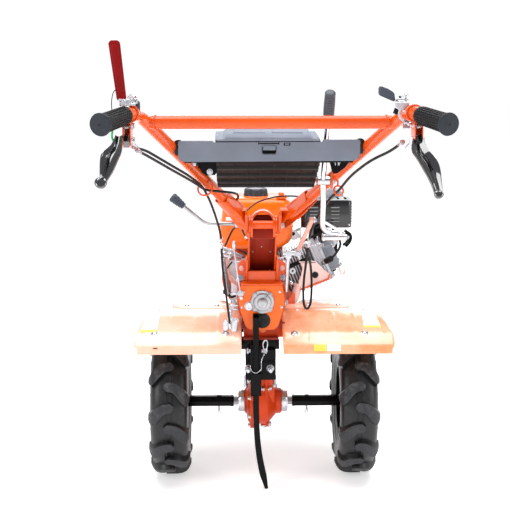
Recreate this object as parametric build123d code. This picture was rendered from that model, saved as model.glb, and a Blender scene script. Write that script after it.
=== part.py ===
from build123d import *
import os
import math

os.makedirs("parts", exist_ok=True)

# Hand tractor: a two-wheeled walking tractor. Millimetres.
# X to the operator's right, Y forward, Z up, floor at Z = 0.
# Everything is laid out with the wheel axle at Y = 0 and moved at the end, so that
# the origin is the middle of the bounding box's bottom face.

# ---------------------------------------------------------------- driving sizes
AXLE_Z = 205.0          # axle height = tyre radius, 4.00-8 tyre
TYRE_R = 205.0
TYRE_HALF = 56.0        # half section width of the tyre
TRACK_HALF = 260.0      # tyre centre from the machine's middle
RIM_SEAT_R = 104.0      # bead seat of the 8 inch rim
HEX_TUBE = 28.0         # hub tube, across flats
HEX_SHAFT = 22.0        # half shaft, across flats
TUBE_IN = 83.0          # inner end of the hub tube from the middle
CASE_HALF = 52.0        # half width of the final drive case
CAP_OUT = 70.0          # outer face of the bearing caps
GX = -5.0               # the gear train sits a little left of the middle

PIVOT_Y, PIVOT_Z = -215.0, 745.0     # handlebar tilt axis, along X
TUBE_R = 15.0                        # handlebar tube radius
ARM_FOOT = (66.0, -212.0, 772.0)     # lower end of the arm's centre line
ARM_CORNER = (289.0, -707.0, 1062.0)
ARM_BACK = (300.0, -785.0, 1068.0)
TUBE_WALL = 2.6
GRIP_END = (351.0, -918.0, 1053.0)
GRIP_LEN = 112.0
CROSS_Y, CROSS_Z = -672.0, 1042.0

HITCH_Y = -135.0        # rear face of the hitch bracket
STAKE_Y0, STAKE_Y1 = -166.0, -142.0  # fore and aft faces of the drag stake
IMPLEMENT_Z = 358.0     # second pin hole of the hitch ears

CRANK_Z = 522.0         # crank and gearbox main shaft height
ENGINE_Y0 = 46.0        # engine's mounting face
BOX_X0, BOX_X1 = -122.0, 116.0       # tool box width
BOX_REAR, BOX_FRONT = -578.0, -388.0
LID_Z = 992.0           # rim of the tool box

FRONT_Y = 500.0         # front of the bumper tube
FRONT_HOLES = (-30.0, 20.0)          # bolt holes of the front cross member
SHEET = 2.0             # fender sheet
LEVER_THICK = 9.0       # hand lever blades

parts = {}


# ---------------------------------------------------------------- helpers
def add(name, shape):
    parts[name] = shape
    return shape


def bx(x0, x1, y0, y1, z0, z1):
    return Pos((x0 + x1) / 2, (y0 + y1) / 2, (z0 + z1) / 2) * Box(x1 - x0, y1 - y0, z1 - z0)


def cyl(p0, p1, r):
    a, b = Vector(*p0), Vector(*p1)
    d = b - a
    return Plane(origin=a, z_dir=d) * Cylinder(r, d.length, align=(Align.CENTER, Align.CENTER, Align.MIN))


def cone(p0, p1, r0, r1):
    a, b = Vector(*p0), Vector(*p1)
    d = b - a
    return Plane(origin=a, z_dir=d) * Cone(r0, r1, d.length, align=(Align.CENTER, Align.CENTER, Align.MIN))


def hexbar(x0, x1, y, z, flats, turn=0.0):
    """Hexagonal bar along X."""
    pl = Plane(origin=(x0, y, z), x_dir=(0, 1, 0), z_dir=(1, 0, 0))
    return extrude(pl * RegularPolygon(flats / 2, 6, major_radius=False, rotation=turn), amount=x1 - x0)


def prism_x(pts, x0, x1):
    """Polygon of (y, z) points, extruded along X."""
    pl = Plane(origin=(x0, 0, 0), x_dir=(0, 1, 0), z_dir=(1, 0, 0))
    return extrude(pl * make_face(Polyline(*pts, close=True)), amount=x1 - x0)


def prism_y(pts, y0, y1):
    """Polygon of (x, z) points, extruded along Y."""
    pl = Plane(origin=(0, y1, 0), x_dir=(1, 0, 0), z_dir=(0, -1, 0))
    return extrude(pl * make_face(Polyline(*pts, close=True)), amount=y1 - y0)


def prism_z(pts, z0, z1):
    """Polygon of (x, y) points, extruded along Z."""
    pl = Plane(origin=(0, 0, z0), x_dir=(1, 0, 0), z_dir=(0, 0, 1))
    return extrude(pl * make_face(Polyline(*pts, close=True)), amount=z1 - z0)


def turned_x(pts, xc, y, z):
    """Ring turned about an axis along X, from (x, r) points."""
    pl = Plane(origin=(xc, y, z), x_dir=(1, 0, 0), z_dir=(0, -1, 0))
    return revolve(pl * make_face(Polyline(*pts, close=True)), axis=Axis((xc, y, z), (1, 0, 0)))


def turned_y(pts, x, yc, z):
    """Ring turned about an axis along Y, from (y, r) points."""
    pl = Plane(origin=(x, yc, z), x_dir=(0, 1, 0), z_dir=(1, 0, 0))
    return revolve(pl * make_face(Polyline(*pts, close=True)), axis=Axis((x, yc, z), (0, 1, 0)))


def bend_radii(pts, cap=None):
    """Each arc as large as its two runs allow."""
    out = []
    for i in range(1, len(pts) - 1):
        a = Vector(*pts[i]) - Vector(*pts[i - 1])
        b = Vector(*pts[i + 1]) - Vector(*pts[i])
        turn = math.radians(a.get_angle(b))
        r = 0.45 * min(a.length, b.length) / math.tan(turn / 2)
        out.append(min(r, cap) if cap else r)
    return out


def rod(pts, r, radii=None, cap=None, bore=0):
    """Round rod or tube along straight runs joined by tangent arcs."""
    if len(pts) == 2:
        return cyl(pts[0], pts[1], r)
    rr = radii if radii is not None else bend_radii(pts, cap)
    path = FilletPolyline(*pts, radius=rr)
    face = Circle(r) - Circle(bore) if bore else Circle(r)
    return sweep(Plane(origin=path @ 0, z_dir=path % 0) * face, path=path)


def biggest(shape):
    """The shape's largest solid, without crumbs left by a cut."""
    return max(shape.solids(), key=lambda q: q.volume)


def trim(name, *others):
    """Cut a piece back where its neighbours pass through it."""
    q = parts[name]
    n = len(q.solids())
    for o in others:
        q = q - parts[o]
    keep = sorted(q.solids(), key=lambda k: -k.volume)[:n]
    parts[name] = keep[0] if n == 1 else Compound(keep)


def mx(shape):
    return mirror(shape, about=Plane.YZ)


def mp(p):
    return (-p[0], p[1], p[2])


# ---------------------------------------------------------------- wheels
# (x, r) outline of the open tyre carcass about the wheel centre
h = TYRE_HALF
tyre_out = [(38, 104), (38, 118), (50, 133), (h, 158), (h - 1, 182), (46, 197), (24, TYRE_R)]
tyre_in = [(20, 193), (38, 186), (45, 176), (46, 158), (41, 139), (29, 120), (29, 104)]
tyre_pts = [(-x, r) for x, r in tyre_out] + [(x, r) for x, r in reversed(tyre_out)] \
    + [(x, r) for x, r in reversed(tyre_in)] + [(-x, r) for x, r in tyre_in]
rim_pts = [(-42, 117), (-38.5, 117), (-38.5, 103.9), (-24, 103.9), (-17, 88), (17, 88), (24, 103.9), (38.5, 103.9),
           (38.5, 117), (42, 117), (42, 100.5), (26.2, 100.5), (19.2, 84.5), (-19.2, 84.5), (-26.2, 100.5), (-42, 100.5)]

tyre = turned_x(tyre_pts, TRACK_HALF, 0, AXLE_Z)
rim = turned_x(rim_pts, TRACK_HALF, 0, AXLE_Z)
disc = cyl((TRACK_HALF - 3, 0, AXLE_Z), (TRACK_HALF + 3, 0, AXLE_Z), 86) \
    - cyl((TRACK_HALF - 5, 0, AXLE_Z), (TRACK_HALF + 5, 0, AXLE_Z), 26)
for k in range(4):
    a = math.radians(45 + 90 * k)
    c = (math.cos(a) * 61, AXLE_Z + math.sin(a) * 61)
    disc -= cyl((TRACK_HALF - 5, c[0], c[1]), (TRACK_HALF + 5, c[0], c[1]), 11)
rim = rim + disc
hub = hexbar(TUBE_IN, TRACK_HALF - 3, 0, AXLE_Z, HEX_TUBE) \
    + cyl((TRACK_HALF - 10, 0, AXLE_Z), (TRACK_HALF - 3, 0, AXLE_Z), 47)
hub -= hexbar(TUBE_IN - 1, TRACK_HALF - 2, 0, AXLE_Z, HEX_SHAFT + 0.6)
shaft = hexbar(CAP_OUT + 2, 205, 0, AXLE_Z, HEX_SHAFT) + cyl((22, 0, AXLE_Z), (CAP_OUT + 2, 0, AXLE_Z), 10.9)
pin = cyl((125, 0, AXLE_Z - 32), (125, 0, AXLE_Z + 22), 4.5) \
    + Pos(125, 0, AXLE_Z + 16.3) * extrude(RegularPolygon(8.5, 6), amount=6) \
    + Pos(125, 0, AXLE_Z - 24.3) * extrude(RegularPolygon(8.5, 6), amount=8)
shaft -= cyl((125, 0, AXLE_Z - 30), (125, 0, AXLE_Z + 30), 4.6)
hub += pin
for side, f in (("right", lambda s: s), ("left", mx)):
    add("tyre_" + side, f(tyre))
    add("rim_" + side, f(rim))
    add("hub_tube_" + side, f(hub))
    add("half_shaft_" + side, f(shaft))

# ---------------------------------------------------------------- final drive case and gearbox
# round gear housing about the axle, stepping down to a bearing neck on the right
case = turned_x([(-CASE_HALF, 0), (-CASE_HALF, 72), (-CASE_HALF + 9, 72), (-CASE_HALF + 9, 67), (14, 67), (24, 58),
                 (34, 36), (CASE_HALF, 36), (CASE_HALF, 0)], 0, 0, AXLE_Z)
leg = prism_x([(-58, 210), (-66, 330), (-100, 440), (36, 440), (44, 330), (54, 210)], -20, 34)
case = case + leg + bx(-56, 56, -100, 40, 414, 440)
for s in (-1, 1):
    case -= cyl((s * 20, 0, AXLE_Z), (s * (CASE_HALF + 1), 0, AXLE_Z), 11.0)
add("final_drive_case", case)
caps = None
for s in (-1, 1):
    c = cyl((s * CASE_HALF, 0, AXLE_Z), (s * CAP_OUT, 0, AXLE_Z), 32) \
        - cyl((s * (CASE_HALF - 1), 0, AXLE_Z), (s * (CAP_OUT + 1), 0, AXLE_Z), 11.0)
    caps = c if caps is None else caps + c
add("bearing_caps", caps)

# (x, z) outline shared by the gearbox body and its rear cover, wide at the top
box_outline = [(-67, 567), (-72, 520), (-66, 490), (-48, 446), (-40, 440), (28, 440), (37, 446), (52, 490), (58, 520), (54, 567)]
gearbox = prism_y(box_outline, -120, 30)
gearbox += cyl((GX, 30, CRANK_Z), (GX, ENGINE_Y0, CRANK_Z), 62)
add("gearbox", gearbox)
cover = prism_y([(-64, 566), (-70, 520), (-64, 491), (-46, 449), (-38, 443), (26, 443), (34, 449), (50, 491), (56, 520), (52, 566)], -132, -120)
cover -= cyl((GX, -140, CRANK_Z), (GX, -110, CRANK_Z), 20)
cover -= cyl((-4, -140, 470), (-4, -110, 470), 15)
add("gearbox_rear_cover", cover)
# rear power take-off cap: flange, boss and shaft end, with its four tapped bolt holes
pto = turned_y([(-12, 0), (-12, 19.9), (0, 19.9), (0, 32), (8, 32), (8, 24), (16, 22), (16, 12.5), (30, 12.5), (30, 0)], GX, 0, 0)
pto = Pos(0, -132, CRANK_Z) * Rot(0, 0, 0) * mirror(pto, about=Plane.XZ)
for k in range(4):
    a = math.radians(45 + 90 * k)
    px, pz = GX + 27.0 * math.cos(a), CRANK_Z + 27.0 * math.sin(a)
    pto += cyl((px, -144.5, pz), (px, -139, pz), 5)
add("pto_flange", pto)
plug = cyl((-4, -120, 470), (-4, -132, 470), 14.9) + cyl((-4, -132, 470), (-4, -139, 470), 20)
add("rubber_plug", plug)

# ---------------------------------------------------------------- hitch bracket, drag stake
hitch = bx(-65, 43, -118, -100, 384, 412) + bx(-52, 33, HITCH_Y, -100, 356, 386) \
    + bx(-52, 33, HITCH_Y, -114, 302, 358) + bx(-50, 31, -114, -66, 392, 400)
# two ears that hold the stake, and the guide collar below
for x0, x1 in ((-38, -31.2), (-14.8, -8)):
    hitch += bx(x0, x1, -172, HITCH_Y, 344, 408)
hitch += bx(-38, -8, -172, HITCH_Y, 268, 330)
hitch -= bx(-31.2, -14.8, -166.2, -141.8, 260, 332)
hitch -= cyl((-45, -154, 390), (0, -154, 390), 5.1)
# second pin hole through both ears, for an implement's pin or another stake height
hitch -= cyl((-45, -154, IMPLEMENT_Z), (0, -154, IMPLEMENT_Z), 5.25)
add("hitch_bracket", hitch)
# (x, z) outline of the drag stake: straight bar, lower end swept to the right and pointed
stake = prism_y([(-31, 478), (-25, 492), (-15, 492), (-15, 300), (-14.5, 200), (-10, 120), (0, 60), (8, 24), (10, 0), (2, 0),
                 (-4, 24), (-12, 60), (-23, 120), (-29, 200), (-31, 300)], STAKE_Y0, STAKE_Y1)
stake -= cyl((-45, -154, 390), (0, -154, 390), 5.1)
for hz in (IMPLEMENT_Z, 422.0, 454.0):
    stake -= cyl((-45, -154, hz), (0, -154, hz), 5.25)
add("drag_stake", stake)
hpin = cyl((-42, -154, 390), (2, -154, 390), 5.0) + cyl((-46, -154, 390), (-42, -154, 390), 8)
hpin += rod([(-3, -154, 390), (-3, -162, 402), (-3, -160, 416), (-3, -148, 418), (-3, -144, 404)], 1.6, cap=5)
add("hitch_pin", hpin)

# ---------------------------------------------------------------- column
# open channel leaning back from the gearbox top, (y, z) run of its front wall
COL_X0, COL_X1 = -44.0, 32.0
foot = bx(-56, 44, -118, -12, 567, 575) + bx(-44.2, 32.2, -113, -109, 574, 603)
for x0, x1 in ((-50, -44.2), (32.2, 38)):
    foot += prism_x([(-112, 575), (-148, 640), (-100, 640), (-30, 575)], x0, x1)
add("column_foot", foot)
web = prism_x([(-84, 575.2), (-40, 575.2), (-190, 760), (-234, 760)], COL_X0, COL_X1)
web -= prism_x([(-130, 560), (-46, 575.2), (-196, 765), (-300, 765)], COL_X0 + 5, COL_X1 - 5)
web -= cyl((COL_X0 - 5, PIVOT_Y, PIVOT_Z), (COL_X1 + 5, PIVOT_Y, PIVOT_Z), 26)
web -= bx(-60, 60, -300, -120, 722, 800)
# head: two cheeks with an arched roof, and the cross tube that the arms clamp on
head = prism_x([(-228, 722), (-236, 745), (-222, 768), (-196, 775), (-176, 760), (-172, 722)], -38, 26)
head -= bx(-32, 20, -260, -150, 700, 800)
arch = cyl((-6, -214, 752), (-6, -176, 752), 32) - cyl((-6, -220, 752), (-6, -170, 752), 26.5) - bx(-60, 60, -240, -150, 700, 752)
head += arch
head += cyl((-45, PIVOT_Y, PIVOT_Z), (33, PIVOT_Y, PIVOT_Z), 11) \
    + cyl((-45, PIVOT_Y, PIVOT_Z), (-38, PIVOT_Y, PIVOT_Z), 23) + cyl((26, PIVOT_Y, PIVOT_Z), (33, PIVOT_Y, PIVOT_Z), 23)
head -= cyl((-60, PIVOT_Y, PIVOT_Z), (60, PIVOT_Y, PIVOT_Z), 6.05)
web = biggest(web + head - cyl((-60, PIVOT_Y, PIVOT_Z), (60, PIVOT_Y, PIVOT_Z), 6.05))
add("column", web)

# ---------------------------------------------------------------- handlebar
def arm(sign):
    sp = lambda p: (sign * p[0], p[1], p[2])
    u = (Vector(*GRIP_END) - Vector(*ARM_BACK)).normalized()
    tip = Vector(*GRIP_END) - u * 8
    pts = [sp(ARM_FOOT), sp(ARM_CORNER), sp(ARM_BACK), sp((tip.X, tip.Y, tip.Z))]
    t = rod(pts, TUBE_R, radii=[55, 60], bore=TUBE_R - TUBE_WALL)
    x0, x1 = (-53.5, -45.5) if sign < 0 else (33.5, 41.5)
    ear = prism_x([(-192, 741), (-202, 726), (-222, 724), (-238, 736), (-268, 800), (-262, 812), (-214, 786), (-196, 764)], x0, x1)
    ear += cyl((x0, PIVOT_Y, PIVOT_Z), (x1, PIVOT_Y, PIVOT_Z), 23)
    xa, xb = (-72, -50) if sign < 0 else (38, 72)
    ear += prism_x([(-206, 766), (-206, 786), (-236, 804), (-248, 794)], xa, xb)
    a = t + ear
    a -= cyl((-120, PIVOT_Y, PIVOT_Z), (120, PIVOT_Y, PIVOT_Z), 6.0)
    return a


add("arm_left", arm(-1))
add("arm_right", arm(1))
add("cross_tube", cyl((-272, CROSS_Y, CROSS_Z), (272, CROSS_Y, CROSS_Z), 14.8) - cyl((-273, CROSS_Y, CROSS_Z), (273, CROSS_Y, CROSS_Z), 12.4))
clamp = cyl((-78, PIVOT_Y, PIVOT_Z), (50, PIVOT_Y, PIVOT_Z), 5.95) + cyl((-66, PIVOT_Y, PIVOT_Z), (-53.6, PIVOT_Y, PIVOT_Z), 11) \
    + cyl((41.6, PIVOT_Y, PIVOT_Z), (50, PIVOT_Y, PIVOT_Z), 9.5)
clamp += rod([(-70, PIVOT_Y, 747), (-157, PIVOT_Y, 749), (-214, PIVOT_Y, 796)], 5.2, cap=22)
clamp += cone((-213.7, PIVOT_Y, 795.7), (-243, PIVOT_Y, 820), 10, 12)
add("clamp_lever", clamp)

def grip(sign):
    e = Vector(sign * GRIP_END[0], GRIP_END[1], GRIP_END[2])
    b = Vector(sign * ARM_BACK[0], ARM_BACK[1], ARM_BACK[2])
    u = (b - e).normalized()
    p = lambda d: tuple(e + u * d)
    g = cone(p(7), p(GRIP_LEN), 20.5, 18.5) + cyl(p(0), p(7.5), 24) + cyl(p(GRIP_LEN - 1), p(GRIP_LEN + 6), 20)
    return g - cyl(p(6), p(GRIP_LEN + 20), TUBE_R + 0.05)


add("grips", grip(-1) + grip(1))

# lever brackets clamped round the tube just ahead of the grips, levers hanging below
brackets = levers = None
# (x low, x high, y, z) across each lever blade from its bracket down to the foot
BLADES = {-1: [(-328, -314, -812, 1022), (-333, -312, -835, 1006), (-354, -313, -850, 992), (-358, -318, -861, 981), (-357, -330, -880, 951), (-356, -340, -884, 938)],
          1: [(294, 316, -812, 1014), (283, 320, -835, 996), (297, 339, -855, 976), (307, 344, -870, 956), (318, 344, -880, 936), (327, 347, -884, 914)]}
FOOT = {-1: ((-354, -886, 934), 13.5), 1: ((338, -887, 909), 10.5)}


def blade(s):
    """Pressed lever blade: a flat tapering strip with a round foot."""
    rows = BLADES[s]
    faces = []
    for k, (xa, xb, y, z) in enumerate(rows):
        a, b = rows[max(k - 1, 0)], rows[min(k + 1, len(rows) - 1)]
        t = Vector(0, b[2] - a[2], b[3] - a[3]).normalized()
        faces.append(Plane(origin=((xa + xb) / 2, y, z), x_dir=(1, 0, 0), z_dir=t) * Rectangle(xb - xa, LEVER_THICK))
    c, r = FOOT[s]
    n = Vector(0, -0.83, 0.55)
    o = Vector(*c)
    return loft(faces, ruled=True) + cyl(tuple(o - n * LEVER_THICK / 2), tuple(o + n * LEVER_THICK / 2), r)


for s in (-1, 1):
    br = prism_x([(-800, 1050), (-812, 1018), (-792, 996), (-764, 1000), (-752, 1030), (-758, 1052), (-775, 1052)], s * 306 - 9, s * 306 + 9)
    br += cyl((s * 299, -766, 1066.5), (s * 300, -784, 1068), 19)
    lv = blade(s)
    brackets = br if brackets is None else brackets + br
    levers = lv if levers is None else levers + lv
add("lever_brackets", brackets)
add("hand_levers", levers)

# main clutch lever, upright on the left bar
cl = prism_y([(-342, 1214), (-336, 1220), (-323, 1220), (-317, 1214), (-306, 1100), (-327, 1100)], -797, -789)
cl += bx(-322, -287, -797, -752, 1084, 1102)
add("clutch_lever", cl)
# throttle lever on the right bar
th = cyl((276, -745, 1078), (276, -745, 1100), 12) + rod([(276, -745, 1102), (258, -752, 1110), (240, -758, 1114)], 4.5, cap=12) \
    + Pos(238, -759, 1114.5) * Sphere(9)
add("throttle_lever", th)

# ---------------------------------------------------------------- tool box between the arms
floor_pts = [(BOX_REAR, 944), (BOX_FRONT, 868)]
outer = prism_x([(BOX_REAR, 944), (BOX_FRONT, 868), (BOX_FRONT, LID_Z), (BOX_REAR, LID_Z)], BOX_X0, BOX_X1)
inner = prism_x([(BOX_REAR + 3, 946.5), (BOX_FRONT - 3, 872.5), (BOX_FRONT - 3, LID_Z + 5), (BOX_REAR + 3, LID_Z + 5)], BOX_X0 + 3, BOX_X1 - 3)
box_shell = outer - inner
lip = prism_y([(-208, 950), (-200, 945), (198, 947), (206, 952), (207, 988), (-209, 990)], BOX_REAR - 4, BOX_REAR)
lip -= prism_y([(-125, 989), (-125, 1000), (119, 1000), (119, 989)], BOX_REAR - 5, BOX_REAR + 1)
for x0 in (-205, 201):
    lip += prism_x([(BOX_REAR, 952), (BOX_REAR, 984), (BOX_REAR + 40, 968), (BOX_REAR + 40, 952)], x0, x0 + 4)
add("tool_box_panel", lip)
lid = prism_x([(BOX_REAR - 3, LID_Z + 0.5), (BOX_REAR - 3, LID_Z + 9), (BOX_REAR + 12, LID_Z + 14), (BOX_FRONT - 14, LID_Z + 20),
               (BOX_FRONT - 6, LID_Z + 14), (BOX_FRONT - 6, LID_Z + 0.5)], BOX_X0 - 3, BOX_X1)
lid -= prism_x([(BOX_REAR + 2, LID_Z - 1), (BOX_REAR + 2, LID_Z + 7), (BOX_REAR + 14, LID_Z + 11), (BOX_FRONT - 18, LID_Z + 16),
                (BOX_FRONT - 11, LID_Z + 11), (BOX_FRONT - 11, LID_Z - 1)], BOX_X0 + 1, BOX_X1 - 4)
HINGE_Y, HINGE_Z = BOX_FRONT + 4, LID_Z + 4
for xa in (-90, 64):
    lid += bx(xa, xa + 20, BOX_FRONT - 8, HINGE_Y, HINGE_Z - 3, HINGE_Z + 3) + cyl((xa, HINGE_Y, HINGE_Z), (xa + 20, HINGE_Y, HINGE_Z), 4.5)
    lid -= cyl((xa - 1, HINGE_Y, HINGE_Z), (xa + 21, HINGE_Y, HINGE_Z), 1.55)
add("tool_box_lid", lid)
hinge = None
for xa in (-90, 64):
    one = cyl((xa - 12, HINGE_Y, HINGE_Z), (xa + 32, HINGE_Y, HINGE_Z), 1.5)
    for xb in (xa - 12, xa + 21):
        one += bx(xb, xb + 11, BOX_FRONT, HINGE_Y + 3.5, HINGE_Z - 16, HINGE_Z + 3.5)
    hinge = one if hinge is None else hinge + one
box_shell += hinge
# brackets that hang the tool box on the arms
for s in (-1, 1):
    xw = BOX_X1 if s > 0 else BOX_X0
    box_shell += bx(min(xw, s * 203), max(xw, s * 203), -532, -508, 938, 943)
add("tool_box", box_shell)

# ---------------------------------------------------------------- gear lever on the right arm
gl = rod([(134, -596, 1070), (134, -430, 885), (138, -385, 822), (140, -335, 745), (197, -330, 738)], 6.5, cap=22)
gl += rod([(139, -352, 775), (192, -334, 742)], 4)
gl += cyl((142, -330, 730), (200, -330, 730), 8)
gl = biggest(gl)
add("gear_lever", gl)
add("gear_lever_grip", cone((134, -562, 1033), (134.4, -618, 1106), 12, 13) - rod([(134, -600, 1075), (134, -430, 885)], 6.55))
gc = cyl((120, -430, 885), (152, -430, 885), 11)
gc += cyl((119, -430, 885), (124, -430, 885), 6) + cyl((152, -430, 885), (157, -430, 885), 20) + bx(152, 158, -445, -415, 880, 920)
add("gear_lever_pivot", gc)
# link from the gearbox selector up towards the lever
gk = rod([(86, -166, 662), (117, -296, 770)], 5)
gk += bx(48, 96, -176, -156, 655, 667) + rod([(62, -166, 657), (61, -150, 610), (60, -112, 545)], 5, cap=30)
add("gear_link", gk)

# ---------------------------------------------------------------- cables
cab_la = [(-296, -770, 995), (-275, -712, 985), (-232, -610, 946), (-187, -500, 905), (-158, -425, 872), (-141, -352, 826), (-128, -290, 778), (-119, -246, 738), (-114.2, -216, 702)]
cab_lb = [(-289, -770, 990), (-268, -712, 971), (-225, -610, 932), (-180, -500, 892), (-150, -430, 862), (-118, -400, 856), (-84, -380, 850), (-72, -350, 842), (-70, -300, 828), (-75, -268, 818)]
cab_ll = [(-114, -214, 694.5), (-113.5, -200, 668), (-113, -183, 630), (-108, -165, 590), (-100, -150, 520), (-92, -144, 452)]
cab_ru = [(280, -760, 1006), (262, -700, 981), (227, -610, 951), (193, -505, 905), (173, -425, 860), (156, -378, 836), (145, -332, 808), (130, -290, 775), (119, -248, 738), (113.6, -216, 703)]
cab_rl = [(113.5, -214, 696), (112, -196, 668), (109, -178, 630), (106, -158, 592), (105, -140, 552), (107, -126, 515), (113, -116, 499), (121, -108, 497), (128, -100, 510), (131, -92, 540), (131, -80, 590),
          (128, -40, 625), (122, 20, 640), (118, 58, 640)]
# loop beside the column, and the throttle cable over the tank's rear edge
cab_c = [(-47.5, -112, 690), (-66, -60, 725), (-86, -10, 700), (-100, 10, 665), (-112, -30, 645), (-114, -50, 643)]
cab_d = [(-50, -120, 735), (-51, -40, 755), (-12, 50, 772), (42, 70, 784), (96, 86, 782), (116, 132, 771)]
add("cables_upper", rod(cab_la, 3.0) + rod(cab_lb, 3.0) + rod(cab_ru, 3.2))
add("cables_lower", rod(cab_ll, 3.0) + rod(cab_rl, 3.2) + rod(cab_c, 2.6) + rod(cab_d, 2.2))
for n_, c_ in (("left", cab_la), ("left, second", cab_lb), ("left, lower", cab_ll), ("right", cab_ru), ("right, lower", cab_rl), ("loop", cab_c), ("throttle", cab_d)):
    print("cable", n_, round(sum((Vector(*c_[i + 1]) - Vector(*c_[i])).length for i in range(len(c_) - 1))), "mm")
ring = Plane(origin=(-151.5, -425, 866), z_dir=(0.26, 0.85, -0.456)) * Torus(18, 2.2) + cyl((-149.1, -417.2, 882), (-153, -419, 893), 2.2)
ring2 = Plane(origin=(172.4, -425, 860.3), z_dir=(-0.26, 0.85, -0.456)) * Torus(12, 2.2) + cyl((170.8, -419.8, 871), (171, -422, 893), 2.2)
add("cable_rings", ring + ring2)

# ---------------------------------------------------------------- fenders
# (y, z) arcs: the rear sheet rises over the tyre, the front sheet carries on over and down
REAR_C, REAR_R = (20.0, 150.0), 325.0
FRONT_C, FRONT_R = (55.0, 213.0), 268.0


def on(c, r, y):
    return c[1] + math.sqrt(r * r - (y - c[0]) ** 2)


def ya(c, r, y0, y1, t):
    """Band of thickness t below an arc between two y values."""
    n = (y0 + y1) / 2
    o = ThreePointArc((y0, on(c, r, y0)), (n, on(c, r, n)), (y1, on(c, r, y1)))

    def inn(y):
        a = math.atan2(on(c, r, y) - c[1], y - c[0])
        return (c[0] + (r - t) * math.cos(a), c[1] + (r - t) * math.sin(a))
    i = ThreePointArc(inn(y1), inn(n), inn(y0))
    return make_face([o.edges()[0], Line(o @ 1, i @ 0), i.edges()[0], Line(i @ 1, o @ 0)])


def band_x(face, x0, x1):
    return extrude(Plane(origin=(x0, 0, 0), x_dir=(0, 1, 0), z_dir=(1, 0, 0)) * face, amount=x1 - x0)


rear = band_x(ya(REAR_C, REAR_R, -170, 0, SHEET), 57, 352)
rear += prism_x([(-170, on(REAR_C, REAR_R, -170)), (-182, 388), (-180, 387.5), (-167.4, on(REAR_C, REAR_R, -170) - 1.2)], 57, 352)
rear -= prism_z([(338, -220), (360, -220), (360, -160), (352, -165)], 300, 500)
rear -= prism_z([(352.5, -140), (343, -120), (335, -90), (319, -40), (300, 4), (400, 4), (400, -140)], 300, 500)
front = band_x(ya(FRONT_C, FRONT_R, 0.6, 240, SHEET), 57, 265)
front -= prism_z([(50, 38), (99, 38), (126, 190), (126, 260), (50, 260)], 300, 520)
front -= prism_z([(265, 60), (246, 14), (225, -5), (290, -5), (290, 60)], 300, 520)
front -= prism_z([(272, 215), (250, 260), (300, 260)], 300, 520)
add("fender_rear_right", rear)
add("fender_rear_left", mx(rear))
add("fender_fronts", front + mx(front))
# flat stays under the sheets, bolted to the gear case
stays = None
for s in (-1, 1):
    one = band_x(ya(REAR_C, REAR_R - SHEET - 0.3, -152, -122, 4), 60, 308)
    one2 = band_x(ya(FRONT_C, FRONT_R - SHEET - 0.3, 8, 34, 4), 60, 225)
    one += prism_z([(15, -118), (66, -118), (66, -152), (50, -152), (33, -120)], 415, 421)
    one2 += bx(52, 66, 8, 34, 462, 472)
    for o in (one, one2):
        o = o if s > 0 else mx(o)
        stays = o if stays is None else stays + o
add("fender_stays", stays)

# ---------------------------------------------------------------- engine
crank = bx(-92, 70, ENGINE_Y0 + 8, 205, 428, 600) - bx(-80, 58, ENGINE_Y0 + 20, 193, 420, 588)
crank += cyl((GX, ENGINE_Y0, CRANK_Z), (GX, ENGINE_Y0 + 10, CRANK_Z), 60)
add("engine_base", bx(-100, 84, 50, 212, 414, 428))


def tilt(shape):
    """Cylinder axis: 22 degrees above level, towards the operator's right."""
    return Pos(0, 0, CRANK_Z) * Rot(0, -22, 0) * shape


cyl_body = tilt(bx(70, 166, 72, 188, -48, 52))
fins = None
for x in range(84, 164, 9):
    f = tilt(bx(x, x + 3, 62, 198, -58, 62))
    fins = f if fins is None else fins + f
add("crankcase", crank + cyl_body + fins)
headb = tilt(bx(166, 200, 64, 196, -56, 60)) + tilt(bx(200, 232, 84, 176, -36, 40))
add("cylinder_head", headb)
tank = fillet(bx(-124, 88, 84, 262, 626, 774).edges(), 16) - fillet(bx(-121, 85, 87, 259, 629, 771).edges(), 13)
tank -= cyl((-17, 160, 765), (-17, 160, 780), 20)
add("fuel_tank", tank)
cap = cyl((-17, 160, 774), (-17, 160, 796), 36)
add("fuel_cap", cap)
guard = bx(114, 262, 140, 236, 680, 762) - bx(116.5, 259.5, 142.5, 233.5, 670, 759.5)
guard += bx(148, 186, 142, 164, 680, 706) + rod([(166, 150, 682), (166, 150, 645), (176, 150, 618)], 11, cap=20)
add("muffler", guard)
add("air_cleaner", cyl((190, 306, 690), (190, 306, 780), 62) - cyl((190, 306, 694), (190, 306, 776), 58.5) - cyl((172, 292, 688), (172, 292, 696), 9))
add("carburettor", bx(140, 190, 206, 262, 620, 668) + cyl((165, 262, 644), (165, 290, 689.5), 16))
shroud = cyl((GX, 212, CRANK_Z), (GX, 300, CRANK_Z), 112) - bx(-130, 120, 210, 302, 624, 640)
add("fan_shroud", shroud)
add("recoil_starter", cyl((GX, 300, CRANK_Z), (GX, 338, CRANK_Z), 84))

# ---------------------------------------------------------------- front frame and bumper
fr = bx(-84, -54, 30, 330, 400, 414) + bx(44, 74, 30, 330, 400, 414) + bx(-54, 44, 300, 330, 400, 414)
fr += bx(-60, 50, 20, 46, 400, 440)
for hx in FRONT_HOLES:
    fr -= cyl((hx, 315, 395), (hx, 315, 420), 5.5)
add("front_frame", fr)
bp = rod([(-76, 290, 386), (-76, 400, 372), (-120, FRONT_Y - 13, 345), (110, FRONT_Y - 13, 345), (66, 400, 372), (66, 290, 386)], 13, radii=[50, 40, 40, 50], bore=10.5)
add("bumper", bp)

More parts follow.
